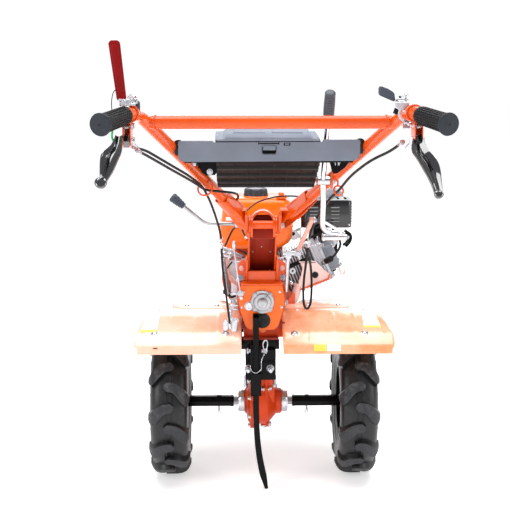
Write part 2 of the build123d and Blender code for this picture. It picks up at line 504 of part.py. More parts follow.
# ---------------------------------------------------------------- fit neighbours to each other
trim("cross_tube", "arm_left", "arm_right")
trim("lever_brackets", "arm_left", "arm_right")
trim("grips", "lever_brackets")
trim("clutch_lever", "arm_left", "lever_brackets", "grips")
trim("throttle_lever", "arm_right")
trim("hand_levers", "lever_brackets")
trim("tool_box", "arm_left", "arm_right")
trim("tool_box_panel", "arm_left", "arm_right", "tool_box")
trim("gear_lever_pivot", "arm_right", "gear_lever")
trim("gear_lever_grip", "gear_lever")
trim("cable_rings", "arm_left", "arm_right")
trim("fender_stays", "gearbox", "final_drive_case")
trim("fender_rear_left", "gearbox")
trim("fender_fronts", "gearbox")
trim("front_frame", "final_drive_case", "gearbox")
trim("hitch_bracket", "final_drive_case", "gearbox")
trim("gear_link", "gearbox")
trim("cylinder_head", "crankcase")
trim("muffler", "cylinder_head")
trim("carburettor", "air_cleaner", "cylinder_head", "crankcase", "fan_shroud")
trim("fan_shroud", "crankcase")

# ---------------------------------------------------------------- place and write
boxes = [s.bounding_box() for s in parts.values()]
lo = [min(getattr(b.min, k) for b in boxes) for k in "XYZ"]
hi = [max(getattr(b.max, k) for b in boxes) for k in "XYZ"]
dx, dy = -(lo[0] + hi[0]) / 2, -(lo[1] + hi[1]) / 2
print(len(parts), "nodes")
print("box", [round(v, 2) for v in lo], [round(v, 2) for v in hi], "moved by", round(dx, 4), round(dy, 4))
for name, shape in parts.items():
    export_step(Pos(dx, dy, 0) * shape, f"parts/{name}.step")
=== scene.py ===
import bpy
import bmesh
import math
import random
from mathutils import Matrix, Vector, geometry


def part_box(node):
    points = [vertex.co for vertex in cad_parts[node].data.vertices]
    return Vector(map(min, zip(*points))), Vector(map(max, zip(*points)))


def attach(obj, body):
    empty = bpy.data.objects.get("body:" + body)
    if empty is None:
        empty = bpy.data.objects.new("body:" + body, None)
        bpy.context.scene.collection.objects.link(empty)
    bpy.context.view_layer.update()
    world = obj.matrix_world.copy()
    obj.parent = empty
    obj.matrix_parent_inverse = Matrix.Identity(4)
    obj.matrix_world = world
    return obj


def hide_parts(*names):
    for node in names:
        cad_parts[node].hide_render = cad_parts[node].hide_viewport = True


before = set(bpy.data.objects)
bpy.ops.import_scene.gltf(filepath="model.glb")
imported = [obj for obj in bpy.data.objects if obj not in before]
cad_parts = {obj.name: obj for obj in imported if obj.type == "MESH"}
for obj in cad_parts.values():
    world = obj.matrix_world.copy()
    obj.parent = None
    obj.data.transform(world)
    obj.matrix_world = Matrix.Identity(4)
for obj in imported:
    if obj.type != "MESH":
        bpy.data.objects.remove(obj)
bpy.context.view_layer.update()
rnd = random.Random(11)

# ------------------------------------------------------------------ places
# Pieces are laid out in millimetres about the middle of the wheel axle, x to the operator's right, y forward,
# z up from the floor. The axle's place is read from the wheels of the frame.
_l, _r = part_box("tyre_left"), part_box("tyre_right")
AXLE_Y = (_l[0].y + _l[1].y) / 2
MID_X = (_l[0].x + _r[1].x) / 2
AXLE_Z = (_l[0].z + _l[1].z) / 2 * 1000
TYRE_R = (_l[1].z - _l[0].z) / 2 * 1000
TRACK = (_r[0].x + _r[1].x) / 2 * 1000 - MID_X * 1000
HALF = (_r[1].x - _r[0].x) / 2 * 1000
TO_ROW = Matrix.Translation((MID_X, AXLE_Y, 0)) @ Matrix.Scale(0.001, 4)


def row(p):
    return TO_ROW @ Vector(p)


def at(origin, z_dir, x_dir=None):
    """Matrix whose local z runs along z_dir from origin."""
    z = Vector(z_dir).normalized()
    x = Vector(x_dir) if x_dir is not None else (Vector((1, 0, 0)) if abs(z.x) < 0.9 else Vector((0, 1, 0)))
    x = (x - z * x.dot(z)).normalized()
    y = z.cross(x)
    m = Matrix((x, y, z)).transposed().to_4x4()
    m.translation = Vector(origin)
    return m


# ------------------------------------------------------------------ shapes: each gives (points, faces)
def lathe(profile, n=32, ring=False):
    """Points (t, r) turned about the local z axis. ring joins the last point back to the first."""
    v, rings = [], []
    for t, r in profile:
        if abs(r) < 1e-6:
            rings.append([len(v)])
            v.append((0.0, 0.0, t))
        else:
            rings.append(list(range(len(v), len(v) + n)))
            v += [(r * math.cos(2 * math.pi * i / n), r * math.sin(2 * math.pi * i / n), t) for i in range(n)]
    f = []
    pairs = list(zip(rings, rings[1:])) + ([(rings[-1], rings[0])] if ring else [])
    for a, b in pairs:
        if len(a) == 1 and len(b) == 1:
            continue
        for i in range(n):
            j = (i + 1) % n
            if len(a) == 1:
                f.append((a[0], b[j], b[i]))
            elif len(b) == 1:
                f.append((a[i], a[j], b[0]))
            else:
                f.append((a[i], a[j], b[j], b[i]))
    return v, f


def disc(profile, n=32):
    """A turned solid: the profile is closed onto the axis at both ends."""
    return lathe([(profile[0][0], 0)] + list(profile) + [(profile[-1][0], 0)], n)


def bevelled(v, f, w, seg=1, ang=28):
    bm = bmesh.new()
    vs = [bm.verts.new(p) for p in v]
    for q in f:
        bm.faces.new([vs[i] for i in q])
    bmesh.ops.recalc_face_normals(bm, faces=bm.faces)
    if w > 0:
        lim = math.radians(ang)
        es = [e for e in bm.edges if len(e.link_faces) == 2 and e.calc_face_angle(0) > lim]
        bmesh.ops.bevel(bm, geom=es, offset=w, segments=seg, profile=0.6, affect="EDGES", clamp_overlap=True)
    bm.verts.index_update()
    out = [tuple(x.co) for x in bm.verts], [tuple(x.index for x in q.verts) for q in bm.faces]
    bm.free()
    return out


def box(x0, x1, y0, y1, z0, z1, b=1.0, seg=1):
    v = [(x, y, z) for x in (x0, x1) for y in (y0, y1) for z in (z0, z1)]
    f = [(0, 1, 3, 2), (4, 6, 7, 5), (0, 4, 5, 1), (2, 3, 7, 6), (0, 2, 6, 4), (1, 5, 7, 3)]
    return bevelled(v, f, b, seg)


def loft(sections, closed=False, caps=True):
    """Rings of equally many points, joined in turn."""
    n = len(sections[0])
    v = [tuple(p) for s in sections for p in s]
    f = []
    m = len(sections)
    for k in range(m if closed else m - 1):
        a, b = k * n, ((k + 1) % m) * n
        f += [(a + i, a + (i + 1) % n, b + (i + 1) % n, b + i) for i in range(n)]
    if caps and not closed:
        f.append(tuple(range(n - 1, -1, -1)))
        f.append(tuple((m - 1) * n + i for i in range(n)))
    return v, f


def place2(axis, u, w, d):
    return {"x": (d, u, w), "y": (u, d, w), "z": (u, w, d)}[axis]


def prism(poly, d0, d1, axis="x", b=0.8, seg=1):
    """Polygon run along an axis: 'x' takes (y, z), 'y' takes (x, z), 'z' takes (x, y)."""
    v, f = loft([[place2(axis, u, w, d0) for u, w in poly], [place2(axis, u, w, d1) for u, w in poly]])
    return bevelled(v, f, b, seg)


def plate(outer, holes, d0, d1, axis="z"):
    """Flat plate with holes through it."""
    loops = [outer] + list(holes)
    flat = [p for lp in loops for p in lp]
    tris = geometry.tessellate_polygon([[Vector((u, w, 0)) for u, w in lp] for lp in loops])
    n = len(flat)
    v = [place2(axis, u, w, d0) for u, w in flat] + [place2(axis, u, w, d1) for u, w in flat]
    f = [tuple(t) for t in tris] + [tuple(i + n for i in reversed(t)) for t in tris]
    k = 0
    for lp in loops:
        m = len(lp)
        f += [(k + i, k + (i + 1) % m, k + (i + 1) % m + n, k + i + n) for i in range(m)]
        k += m
    return v, f


def circle2(u, w, r, n=20):
    return [(u + r * math.cos(2 * math.pi * i / n), w + r * math.sin(2 * math.pi * i / n)) for i in range(n)]


def slot2(u0, w0, u1, w1, r, n=8):
    """Outline of a slot between two points."""
    a = math.atan2(w1 - w0, u1 - u0)
    out = []
    for c, base in (((u1, w1), a - math.pi / 2), ((u0, w0), a + math.pi / 2)):
        out += [(c[0] + r * math.cos(base + math.pi * i / n), c[1] + r * math.sin(base + math.pi * i / n)) for i in range(n + 1)]
    return out


def round2(u0, u1, w0, w1, r, n=5):
    """Rectangle with round corners."""
    out = []
    for cu, cw, base in ((u1 - r, w0 + r, -0.5), (u1 - r, w1 - r, 0.0), (u0 + r, w1 - r, 0.5), (u0 + r, w0 + r, 1.0)):
        out += [(cu + r * math.cos(math.pi * (base + 0.5 * i / n)), cw + r * math.sin(math.pi * (base + 0.5 * i / n))) for i in range(n + 1)]
    return out


def soften(pts, per=6):
    """A smooth line that leaves its first point, ends at its last and is drawn to the others."""
    p = [Vector(q) for q in pts]
    if len(p) < 3:
        return p
    out = [p[0]]
    for i in range(1, len(p) - 1):
        a = p[0] if i == 1 else (p[i - 1] + p[i]) / 2
        b = p[-1] if i == len(p) - 2 else (p[i] + p[i + 1]) / 2
        for k in range(1, per + 1):
            t = k / per
            out.append(a * (1 - t) ** 2 + p[i] * 2 * t * (1 - t) + b * t * t)
    return out


def bent(pts, radius, per=7):
    """Straight runs joined by round bends, as a formed rod."""
    p = [Vector(q) for q in pts]
    out = [p[0]]
    for i in range(1, len(p) - 1):
        a, b = (p[i - 1] - p[i]), (p[i + 1] - p[i])
        turn = math.pi - a.angle(b)
        r = radius[i - 1] if isinstance(radius, (list, tuple)) else radius
        d = min(r * math.tan(turn / 2), 0.48 * a.length, 0.48 * b.length)
        s, e = p[i] + a.normalized() * d, p[i] + b.normalized() * d
        for k in range(per + 1):
            t = k / per
            out.append(s * (1 - t) ** 2 + p[i] * 2 * t * (1 - t) + e * t * t)
    out.append(p[-1])
    return out


def frames_of(path, up=None):
    """Tangent and side vectors carried along a path without twist."""
    t = []
    for i in range(len(path)):
        a = path[min(i + 1, len(path) - 1)] - path[max(i - 1, 0)]
        t.append(a.normalized())
    s = Vector(up) if up is not None else (Vector((0, 0, 1)) if abs(t[0].z) < 0.9 else Vector((1, 0, 0)))
    s = (s - t[0] * s.dot(t[0])).normalized()
    out = []
    for k in t:
        s = (s - k * s.dot(k)).normalized()
        out.append((k, s, k.cross(s)))
    return out


def sweep(path, section, up=None, scale=None, closed=False, caps=True):
    """Section (a, b) points carried along a path."""
    path = [Vector(p) for p in path]
    fr = frames_of(path, up)
    rings = []
    for i, (p, (t, s, c)) in enumerate(zip(path, fr)):
        k = scale(i / (len(path) - 1)) if scale else (1, 1)
        rings.append([p + s * (a * k[0]) + c * (b * k[1]) for a, b in section])
    return loft(rings, closed, caps)


def ring2(r, n):
    return [(r * math.cos(2 * math.pi * i / n), r * math.sin(2 * math.pi * i / n)) for i in range(n)]


def tube(path, r, n=12, up=None):
    return sweep(path, ring2(r, n), up)


def rod(p0, p1, r, n=16, b=0.6, r1=None):
    """Straight rod with broken edges."""
    a, e = Vector(p0), Vector(p1)
    length = (e - a).length
    r1 = r if r1 is None else r1
    v, f = lathe([(0, 0), (0, r - b), (b, r), (length - b, r1), (length, r1 - b), (length, 0)], n)
    m = at(a, e - a)
    return [tuple(m @ Vector(p)) for p in v], f


def helix(p0, p1, rc, rw, turns, n=6, per=12):
    a, e = Vector(p0), Vector(p1)
    m = at(a, e - a)
    length = (e - a).length
    k = int(turns * per)
    pts = [m @ Vector((rc * math.cos(2 * math.pi * i / per), rc * math.sin(2 * math.pi * i / per), length * i / k)) for i in range(k + 1)]
    return tube(pts, rw, n)


def moved(vf, m):
    return [tuple(m @ Vector(p)) for p in vf[0]], vf[1]


class Piece:
    """Collects shapes with their materials and becomes one object that rides on a body."""

    def __init__(self, name, body):
        self.name, self.body = name, body
        self.v, self.f, self.k, self.mats, self.cur = [], [], [], [], 0

    def use(self, material):
        if material not in self.mats:
            self.mats.append(material)
        self.cur = self.mats.index(material)
        return self

    def add(self, vf, m=None, flip_x=False):
        v, f = vf
        n = len(self.v)
        if m is not None:
            v = [m @ Vector(p) for p in v]
        if flip_x:
            v = [(-p[0], p[1], p[2]) for p in v]
            f = [tuple(reversed(q)) for q in f]
        self.v.extend(tuple(p) for p in v)
        self.f.extend(tuple(i + n for i in q) for q in f)
        self.k.extend([self.cur] * len(f))
        return self

    def bolt(self, p, d, af=13.0, h=6.0, washer=True, turn=0.3):
        """Hexagon head with a washer under it; p lies on the seat, d points outward."""
        m = at(p, d)
        r = af / 2 / math.cos(math.pi / 6)
        z = 0.0
        if washer:
            self.add(lathe([(-1.5, 0), (-1.5, af * 0.82), (1.1, af * 0.82), (1.5, af * 0.78), (1.5, 0)], 20), m)
            z = 1.5
        self.add(lathe([(z - 1, 0), (z - 1, r), (z + h * 0.8, r), (z + h, r * 0.86), (z + h, 0)], 6), m @ Matrix.Rotation(turn, 4, "Z"))
        return self

    def dome(self, p, d, r=6.0, h=4.0):
        """Round-headed bolt or rivet."""
        m = at(p, d)
        prof = [(-1, 0), (-1, r)] + [(h * math.sin(a), r * math.cos(a)) for a in (0, 0.35, 0.7, 1.05, 1.35)] + [(h, 0)]
        self.add(lathe(prof, 14), m)
        return self

    def make(self, replaces=(), slot=None, sharp=32, subsurf=0, smooth=True, ride=True):
        me = bpy.data.meshes.new(self.name)
        me.from_pydata(self.v, [], self.f)
        for m in self.mats:
            me.materials.append(m)
        me.polygons.foreach_set("material_index", self.k)
        bm = bmesh.new()
        bm.from_mesh(me)
        bmesh.ops.remove_doubles(bm, verts=bm.verts, dist=0.0005)
        bmesh.ops.recalc_face_normals(bm, faces=bm.faces)
        for q in bm.faces:
            q.smooth = smooth
        lim = math.radians(sharp)
        for e in bm.edges:
            if len(e.link_faces) == 2 and e.calc_face_angle(0) > lim:
                e.smooth = False
        bm.to_mesh(me)
        bm.free()
        me.transform(TO_ROW)
        o = bpy.data.objects.new(self.name, me)
        bpy.context.scene.collection.objects.link(o)
        if subsurf:
            s = o.modifiers.new("subdivision", "SUBSURF")
            s.levels = s.render_levels = subsurf
        if ride:
            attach(o, self.body)
        if replaces:
            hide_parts(*replaces)
        return o

# ------------------------------------------------------------------ materials
def lin(r, g, b):
    return tuple(((c / 255) / 12.92 if c / 255 <= 0.04045 else ((c / 255 + 0.055) / 1.055) ** 2.4) for c in (r, g, b)) + (1.0,)


class Mat:
    """Node helper round one material."""

    def __init__(self, name):
        self.m = bpy.data.materials.new(name)
        self.m.use_nodes = True
        self.nt = self.m.node_tree
        self.b = self.nt.nodes["Principled BSDF"]
        self.co = self.n("ShaderNodeTexCoord").outputs["Object"]

    def n(self, kind, **kw):
        x = self.nt.nodes.new(kind)
        for k, val in kw.items():
            if hasattr(x, k):
                setattr(x, k, val)
            else:
                x.inputs[k.replace("_", " ")].default_value = val
        return x

    def link(self, a, b):
        self.nt.links.new(a, b)

    def noise(self, scale, detail=4.0, rough=0.55, co=None, stretch=None):
        src = co or self.co
        if stretch:
            mp = self.n("ShaderNodeMapping")
            mp.inputs["Scale"].default_value = stretch
            self.link(src, mp.inputs["Vector"])
            src = mp.outputs["Vector"]
        x = self.n("ShaderNodeTexNoise")
        x.inputs["Scale"].default_value = scale
        x.inputs["Detail"].default_value = detail
        x.inputs["Roughness"].default_value = rough
        self.link(src, x.inputs["Vector"])
        return x.outputs["Fac"]

    def ramp(self, fac, stops):
        r = self.n("ShaderNodeValToRGB")
        e = r.color_ramp.elements
        while len(e) < len(stops):
            e.new(0.5)
        for k, (p, c) in enumerate(stops):
            e[k].position = p
            e[k].color = c
        self.link(fac, r.inputs["Fac"])
        return r.outputs["Color"]

    def span(self, fac, lo, hi, a=0.3, b=0.7):
        m = self.n("ShaderNodeMapRange")
        m.inputs["From Min"].default_value = a
        m.inputs["From Max"].default_value = b
        m.inputs["To Min"].default_value = lo
        m.inputs["To Max"].default_value = hi
        self.link(fac, m.inputs["Value"])
        return m.outputs["Result"]

    def math(self, op, a, b=None):
        m = self.n("ShaderNodeMath")
        m.operation = op
        for k, x in enumerate((a, b)):
            if x is None:
                continue
            if isinstance(x, (int, float)):
                m.inputs[k].default_value = x
            else:
                self.link(x, m.inputs[k])
        return m.outputs[0]

    def mix(self, fac, a, b):
        m = self.n("ShaderNodeMix")
        m.data_type = "RGBA"
        self.link(fac, m.inputs[0])
        for k, x in ((6, a), (7, b)):
            if isinstance(x, tuple):
                m.inputs[k].default_value = x
            else:
                self.link(x, m.inputs[k])
        return m.outputs[2]

    def round_edges(self, radius):
        bv = self.n("ShaderNodeBevel")
        bv.samples = 4
        bv.inputs["Radius"].default_value = radius
        return bv.outputs["Normal"]

    def edge_mask(self, normal, lo=0.02, hi=0.22):
        """High along edges, where the rounded normal leaves the face's own."""
        g = self.n("ShaderNodeNewGeometry")
        d = self.n("ShaderNodeVectorMath")
        d.operation = "DOT_PRODUCT"
        self.link(normal, d.inputs[0])
        self.link(g.outputs["Normal"], d.inputs[1])
        k = self.math("SUBTRACT", 1.0, d.outputs["Value"])
        return self.span(k, 0.0, 1.0, lo, hi)

    def bump(self, height, strength, distance, normal=None):
        b = self.n("ShaderNodeBump")
        b.inputs["Strength"].default_value = strength
        b.inputs["Distance"].default_value = distance
        self.link(height, b.inputs["Height"])
        if normal is not None:
            self.link(normal, b.inputs["Normal"])
        return b.outputs["Normal"]

    def up_mask(self, lo=0.3, hi=0.95):
        g = self.n("ShaderNodeNewGeometry")
        s = self.n("ShaderNodeSeparateXYZ")
        self.link(g.outputs["Normal"], s.inputs[0])
        return self.span(s.outputs["Z"], 0.0, 1.0, lo, hi)


def paint(name, c, c2, rough=(0.22, 0.34), coat=0.6, coat_rough=0.07, peel=0.05, edge=None, edge_amount=0.5, r=0.0009, spec=0.5, tone=9.0, cut=(0.3, 0.7)):
    """Sprayed enamel: slight colour drift, orange peel, and a paler colour in patches along edges that is painted edge
    highlight as well as wear.
    """
    k = Mat(name)
    base = k.ramp(k.noise(tone, 5), [(cut[0], c), (cut[1], c2)])
    nr = k.round_edges(r)
    # paler colour along edges: painted edge highlight, also standing for wear
    if edge:
        em = k.math("MULTIPLY", k.edge_mask(nr), k.span(k.noise(160, 3), 0.0, edge_amount, 0.42, 0.66))
        base = k.mix(em, base, edge)
    k.link(base, k.b.inputs["Base Color"])
    k.link(k.span(k.noise(38, 4), rough[0], rough[1]), k.b.inputs["Roughness"])
    k.b.inputs["Coat Weight"].default_value = coat
    k.b.inputs["Coat Roughness"].default_value = coat_rough
    k.b.inputs["Specular IOR Level"].default_value = spec
    k.link(k.bump(k.noise(420, 2, 0.4), peel, 0.0004, nr), k.b.inputs["Normal"])
    return k.m


def metal(name, c, c2, rough=(0.2, 0.36), grain=(1, 1, 1), grain_scale=260.0, depth=0.06, tone=30.0, r=0.0007, spots=None):
    """Bare or plated metal with a directional grain and a patchy sheen."""
    k = Mat(name)
    base = k.ramp(k.noise(tone, 5), [(0.28, c), (0.72, c2)])
    if spots:
        base = k.mix(k.span(k.noise(90, 6, 0.7), 0.0, 0.6, 0.56, 0.74), base, spots)
    k.link(base, k.b.inputs["Base Color"])
    k.b.inputs["Metallic"].default_value = 1.0
    k.link(k.span(k.noise(tone * 2.3, 4), rough[0], rough[1]), k.b.inputs["Roughness"])
    nr = k.round_edges(r)
    k.link(k.bump(k.noise(grain_scale, 3, 0.6, stretch=grain), depth, 0.0004, nr), k.b.inputs["Normal"])
    return k.m


def plastic(name, c, c2, rough=(0.42, 0.6), depth=0.18, cell=1500.0, tone=22.0, r=0.0007, edge=None, spec=0.45):
    """Moulded plastic with a fine leathery grain."""
    k = Mat(name)
    base = k.ramp(k.noise(tone, 5), [(0.3, c), (0.7, c2)])
    nr = k.round_edges(r)
    # paler colour along edges: painted edge highlight, also standing for wear
    if edge:
        base = k.mix(k.math("MULTIPLY", k.edge_mask(nr), 0.55), base, edge)
    k.link(base, k.b.inputs["Base Color"])
    k.link(k.span(k.noise(60, 4), rough[0], rough[1]), k.b.inputs["Roughness"])
    k.b.inputs["Specular IOR Level"].default_value = spec
    vo = k.n("ShaderNodeTexVoronoi")
    vo.inputs["Scale"].default_value = cell
    k.link(k.co, vo.inputs["Vector"])
    k.link(k.bump(vo.outputs["Distance"], depth, 0.0003, nr), k.b.inputs["Normal"])
    return k.m


def rubber(name, c, c2, rough=(0.62, 0.82), dust=None, lines=None, r=0.0006, depth=0.25, spec=0.42):
    """Moulded rubber: dull, slightly dusty, with fine mould lines where asked."""
    k = Mat(name)
    base = k.ramp(k.noise(26, 6, 0.6), [(0.3, c), (0.72, c2)])
    nr = k.round_edges(r)
    if dust:
        spread = k.math("MULTIPLY", k.span(k.noise(70, 6, 0.7), 0.0, 0.75, 0.46, 0.72), k.up_mask(-0.4, 0.9))
        base = k.mix(spread, base, dust)
    # paler grey along edges: painted edge highlight, also standing for wear
    base = k.mix(k.math("MULTIPLY", k.edge_mask(nr), 0.35), base, lin(56, 58, 62))
    k.link(base, k.b.inputs["Base Color"])
    k.link(k.span(k.noise(90, 4), rough[0], rough[1]), k.b.inputs["Roughness"])
    k.b.inputs["Specular IOR Level"].default_value = spec
    h = k.noise(700, 3, 0.6)
    if lines:
        w = k.n("ShaderNodeTexWave")
        w.wave_type, w.bands_direction = "BANDS", "DIAGONAL"
        w.inputs["Scale"].default_value = lines
        w.inputs["Distortion"].default_value = 0.0
        k.link(k.co, w.inputs["Vector"])
        h = k.math("ADD", k.math("MULTIPLY", h, 0.35), w.outputs["Fac"])
    k.link(k.bump(h, depth, 0.0006, nr), k.b.inputs["Normal"])
    return k.m


ORANGE = paint("paint_orange", lin(226, 84, 10), lin(214, 74, 6), (0.16, 0.28), 0.5, 0.08, 0.05, lin(246, 140, 76), 0.22, spec=0.25)
# pale peach fender paint, patchy between paler and more orange: painted reflection of the bright surroundings; the
# paler copy serves the left and front fenders
FENDER_REFLECTION = paint("fender_painted_reflection", lin(249, 178, 138), lin(243, 146, 92), (0.2, 0.3), 1.0, 0.15, 0.035, lin(253, 214, 180), 0.5, tone=9.0, cut=(0.42, 0.62))
FENDER_PALE_REFLECTION = paint("fender_pale_painted_reflection", lin(251, 200, 176), lin(248, 178, 144), (0.2, 0.3), 1.0, 0.15, 0.035, lin(253, 220, 200), 0.5, tone=7.0, cut=(0.4, 0.62))
FENDER_PALE_REFLECTION.node_tree.nodes["Principled BSDF"].inputs["Coat IOR"].default_value = 1.75
FENDER_REFLECTION.node_tree.nodes["Principled BSDF"].inputs["Coat IOR"].default_value = 1.75
COVER = paint("paint_cover", lin(244, 106, 14), lin(236, 96, 10), (0.26, 0.38), 0.3, 0.1, 0.05, lin(252, 176, 120), 0.5, spec=0.25)
TANK = paint("paint_tank", lin(246, 112, 8), lin(238, 102, 4), (0.2, 0.3), 0.6, 0.05, 0.03, lin(252, 170, 90), 0.35, spec=0.25)
CASE = paint("paint_case", lin(220, 68, 8), lin(202, 56, 4), (0.36, 0.52), 0.15, 0.15, 0.35, lin(244, 120, 60), 0.6, 0.0012, 0.22)
# darker red paint for insides, liner sheets and gaps: painted shade
INNER_SHADE = paint("paint_inner_painted_shade", lin(160, 40, 8), lin(134, 28, 6), (0.36, 0.52), 0.15, 0.15, 0.12, lin(214, 86, 44), 0.4, spec=0.3)
# pale pink-orange paint for the shift link and small caps: painted highlight in place of the orange paint's reflections
PINK_SHEEN = paint("paint_pink_painted_highlight", lin(222, 170, 158), lin(206, 150, 138), (0.3, 0.44), 0.4, 0.1, 0.1, lin(240, 200, 190), 0.4)
BLACK = paint("paint_black", lin(8, 8, 9), lin(4, 4, 5), (0.24, 0.36), 0.05, 0.12, 0.1, lin(60, 60, 62), 0.3, spec=0.1)
GLOSS = paint("guard_black", lin(5, 5, 6), lin(8, 8, 10), (0.14, 0.24), 1.0, 0.05, 0.02, lin(60, 62, 66), 0.35, spec=0.3)
LEVER_BLACK = paint("lever_black", lin(5, 5, 6), lin(8, 8, 10), (0.1, 0.18), 1.0, 0.05, 0.02, lin(60, 62, 66), 0.35, spec=0.4)
LEVER_BLACK.node_tree.nodes["Principled BSDF"].inputs["Coat IOR"].default_value = 2.1
RED = plastic("lever_red", lin(136, 8, 10), lin(120, 6, 8), (0.4, 0.5), 0.10, 1600, 18, 0.0012, lin(190, 44, 44), 0.14)
ZINC = metal("zinc_plate", lin(214, 214, 218), lin(188, 190, 196), (0.2, 0.38), (1, 1, 1), 300, 0.08, 34, 0.0006, lin(176, 170, 160))
STEEL = metal("bare_steel", lin(190, 190, 192), lin(160, 161, 165), (0.26, 0.42), (8, 1, 1), 120, 0.12, 26, 0.0006)
CHROME = metal("chrome_rod", lin(232, 232, 236), lin(214, 215, 220), (0.06, 0.16), (1, 1, 1), 500, 0.02, 20, 0.0006)
ALU = metal("cast_aluminium", lin(214, 215, 220), lin(182, 184, 190), (0.34, 0.52), (1, 1, 1), 190, 0.35, 24, 0.001, lin(110, 110, 112))
# darker aluminium for the cylinder barrel between the fins: painted shade
ALU_FIN_SHADE = metal("cast_aluminium_painted_shade", lin(120, 122, 126), lin(88, 90, 94), (0.42, 0.6), (1, 1, 1), 190, 0.5, 24, 0.001, lin(60, 60, 62))
ALU.node_tree.nodes["Principled BSDF"].inputs["Metallic"].default_value = 0.55
# pale pinkish-white paint for the engine side covers and pipe: painted highlight
COWL_HIGHLIGHT = paint("paint_cowl_painted_highlight", lin(243, 219, 213), lin(233, 200, 192), (0.3, 0.44), 0.4, 0.1, 0.1, lin(240, 180, 165), 0.4)
HEAT = metal("heat_shield", lin(110, 110, 114), lin(76, 76, 80), (0.32, 0.48), (1, 1, 1), 240, 0.1, 22, 0.0008, lin(90, 70, 56))
BLACK_PL = plastic("plastic_black", lin(14, 15, 17), lin(8, 9, 10), (0.36, 0.5), 0.2, 1500, 20, 0.0008, lin(66, 68, 72), 0.26)
CAP_PL = plastic("plastic_cap", lin(58, 60, 66), lin(48, 50, 55), (0.4, 0.55), 0.2, 1500, 20, 0.0008, lin(96, 98, 104), 0.3)
GREY_PL = plastic("plastic_grey", lin(117, 125, 138), lin(107, 115, 127), (0.46, 0.6), 0.2, 1400, 16, 0.001, lin(150, 156, 168), 0.35)
LID_PL = plastic("plastic_lid", lin(128, 135, 148), lin(118, 125, 138), (0.55, 0.7), 0.2, 1400, 16, 0.001, lin(160, 166, 178), 0.22)
KNOB_PL = plastic("plastic_knob", lin(62, 68, 80), lin(50, 56, 68), (0.5, 0.64), 0.28, 1200, 20, 0.0008, lin(104, 108, 116))
# red-tinted near-black tool box plastic: the red tint is painted bounce light from the orange paint
BOX_PL_BOUNCE = plastic("plastic_box_painted_bounce", lin(27, 12, 9), lin(20, 8, 6), (0.42, 0.56), 0.2, 1400, 16, 0.0008, lin(74, 50, 44), 0.12)
DOME_PL = plastic("plastic_dome", lin(128, 132, 140), lin(114, 118, 126), (0.36, 0.5), 0.16, 1400, 16, 0.001, lin(160, 165, 174))
TYRE = rubber("tyre_rubber", lin(13, 14, 15), lin(8, 8, 9), (0.3, 0.44), lin(54, 54, 54), None, 0.0008, 0.3, 0.45)
TREAD = rubber("tyre_lug_top", lin(44, 45, 48), lin(30, 31, 34), (0.42, 0.6), lin(104, 102, 98), 95.0, 0.0009, 0.6, 0.4)
GRIP = rubber("grip_rubber", lin(17, 18, 20), lin(11, 12, 13), (0.42, 0.56), lin(40, 42, 46), None, 0.0004, 0.2, 0.34)
# lighter grey rubber for the gear lever grip: grey rubber with painted highlight in its colour
LEVER_GRIP_SHEEN = rubber("lever_grip_rubber_painted_highlight", lin(74, 79, 86), lin(58, 62, 69), (0.36, 0.5), lin(100, 104, 110), None, 0.0004, 0.2, 0.4)
GRIP_END = rubber("grip_end_rubber", lin(40, 45, 52), lin(33, 38, 44), (0.44, 0.6), None, None, 0.001, 0.12, 0.28)
CABLE = rubber("cable_jacket", lin(12, 12, 13), lin(8, 8, 9), (0.34, 0.48), None, None, 0.0004, 0.08, 0.25)
GREEN = rubber("wire_green", lin(60, 190, 110), lin(48, 176, 98), (0.35, 0.5), None, None, 0.0003, 0.05)
RED_WIRE = rubber("wire_red", lin(196, 40, 40), lin(180, 32, 32), (0.35, 0.5), None, None, 0.0003, 0.05)
LABEL = plastic("label_white", lin(246, 246, 244), lin(240, 240, 238), (0.3, 0.4), 0.03, 500, 20, 0.0002)
LABEL_Y = plastic("label_yellow", lin(250, 214, 96), lin(246, 206, 84), (0.3, 0.4), 0.03, 500, 20, 0.0002)
DARK = plastic("deep_black", lin(12, 12, 13), lin(8, 8, 9), (0.7, 0.85), 0.1, 900, 20, 0.0004)
RIM = paint("rim_paint", lin(232, 84, 18), lin(222, 76, 16), (0.26, 0.4), 0.5, 0.1, 0.08, lin(245, 140, 90), 0.5)

FIRST = {
    "tyre_left": TYRE, "tyre_right": TYRE, "rim_left": RIM, "rim_right": RIM, "hub_tube_left": BLACK, "hub_tube_right": BLACK,
    "half_shaft_left": STEEL, "half_shaft_right": STEEL, "final_drive_case": CASE, "bearing_caps": ZINC, "gearbox": CASE,
    "gearbox_rear_cover": ORANGE, "pto_flange": ZINC, "rubber_plug": GRIP, "hitch_bracket": BLACK, "drag_stake": BLACK, "hitch_pin": ZINC,
    "column_foot": ORANGE, "column": ORANGE, "arm_left": ORANGE, "arm_right": ORANGE, "cross_tube": ORANGE, "clamp_lever": ZINC,
    "grips": GRIP, "lever_brackets": ORANGE, "hand_levers": GLOSS, "clutch_lever": RED, "throttle_lever": KNOB_PL, "tool_box": BOX_PL_BOUNCE,
    "tool_box_panel": GREY_PL, "tool_box_lid": GREY_PL, "gear_lever": CHROME, "gear_lever_grip": GRIP, "gear_lever_pivot": ZINC,
    "gear_link": RED, "cables_upper": CABLE, "cables_lower": CABLE, "cable_rings": ORANGE, "fender_rear_left": FENDER_REFLECTION,
    "fender_rear_right": FENDER_REFLECTION, "fender_fronts": FENDER_REFLECTION, "fender_stays": BLACK, "engine_base": BLACK, "crankcase": ALU,
    "cylinder_head": ALU, "fuel_tank": TANK, "fuel_cap": BLACK_PL, "muffler": BLACK, "air_cleaner": DOME_PL, "carburettor": ALU,
    "fan_shroud": ORANGE, "recoil_starter": ORANGE, "front_frame": BLACK, "bumper": BLACK,
}
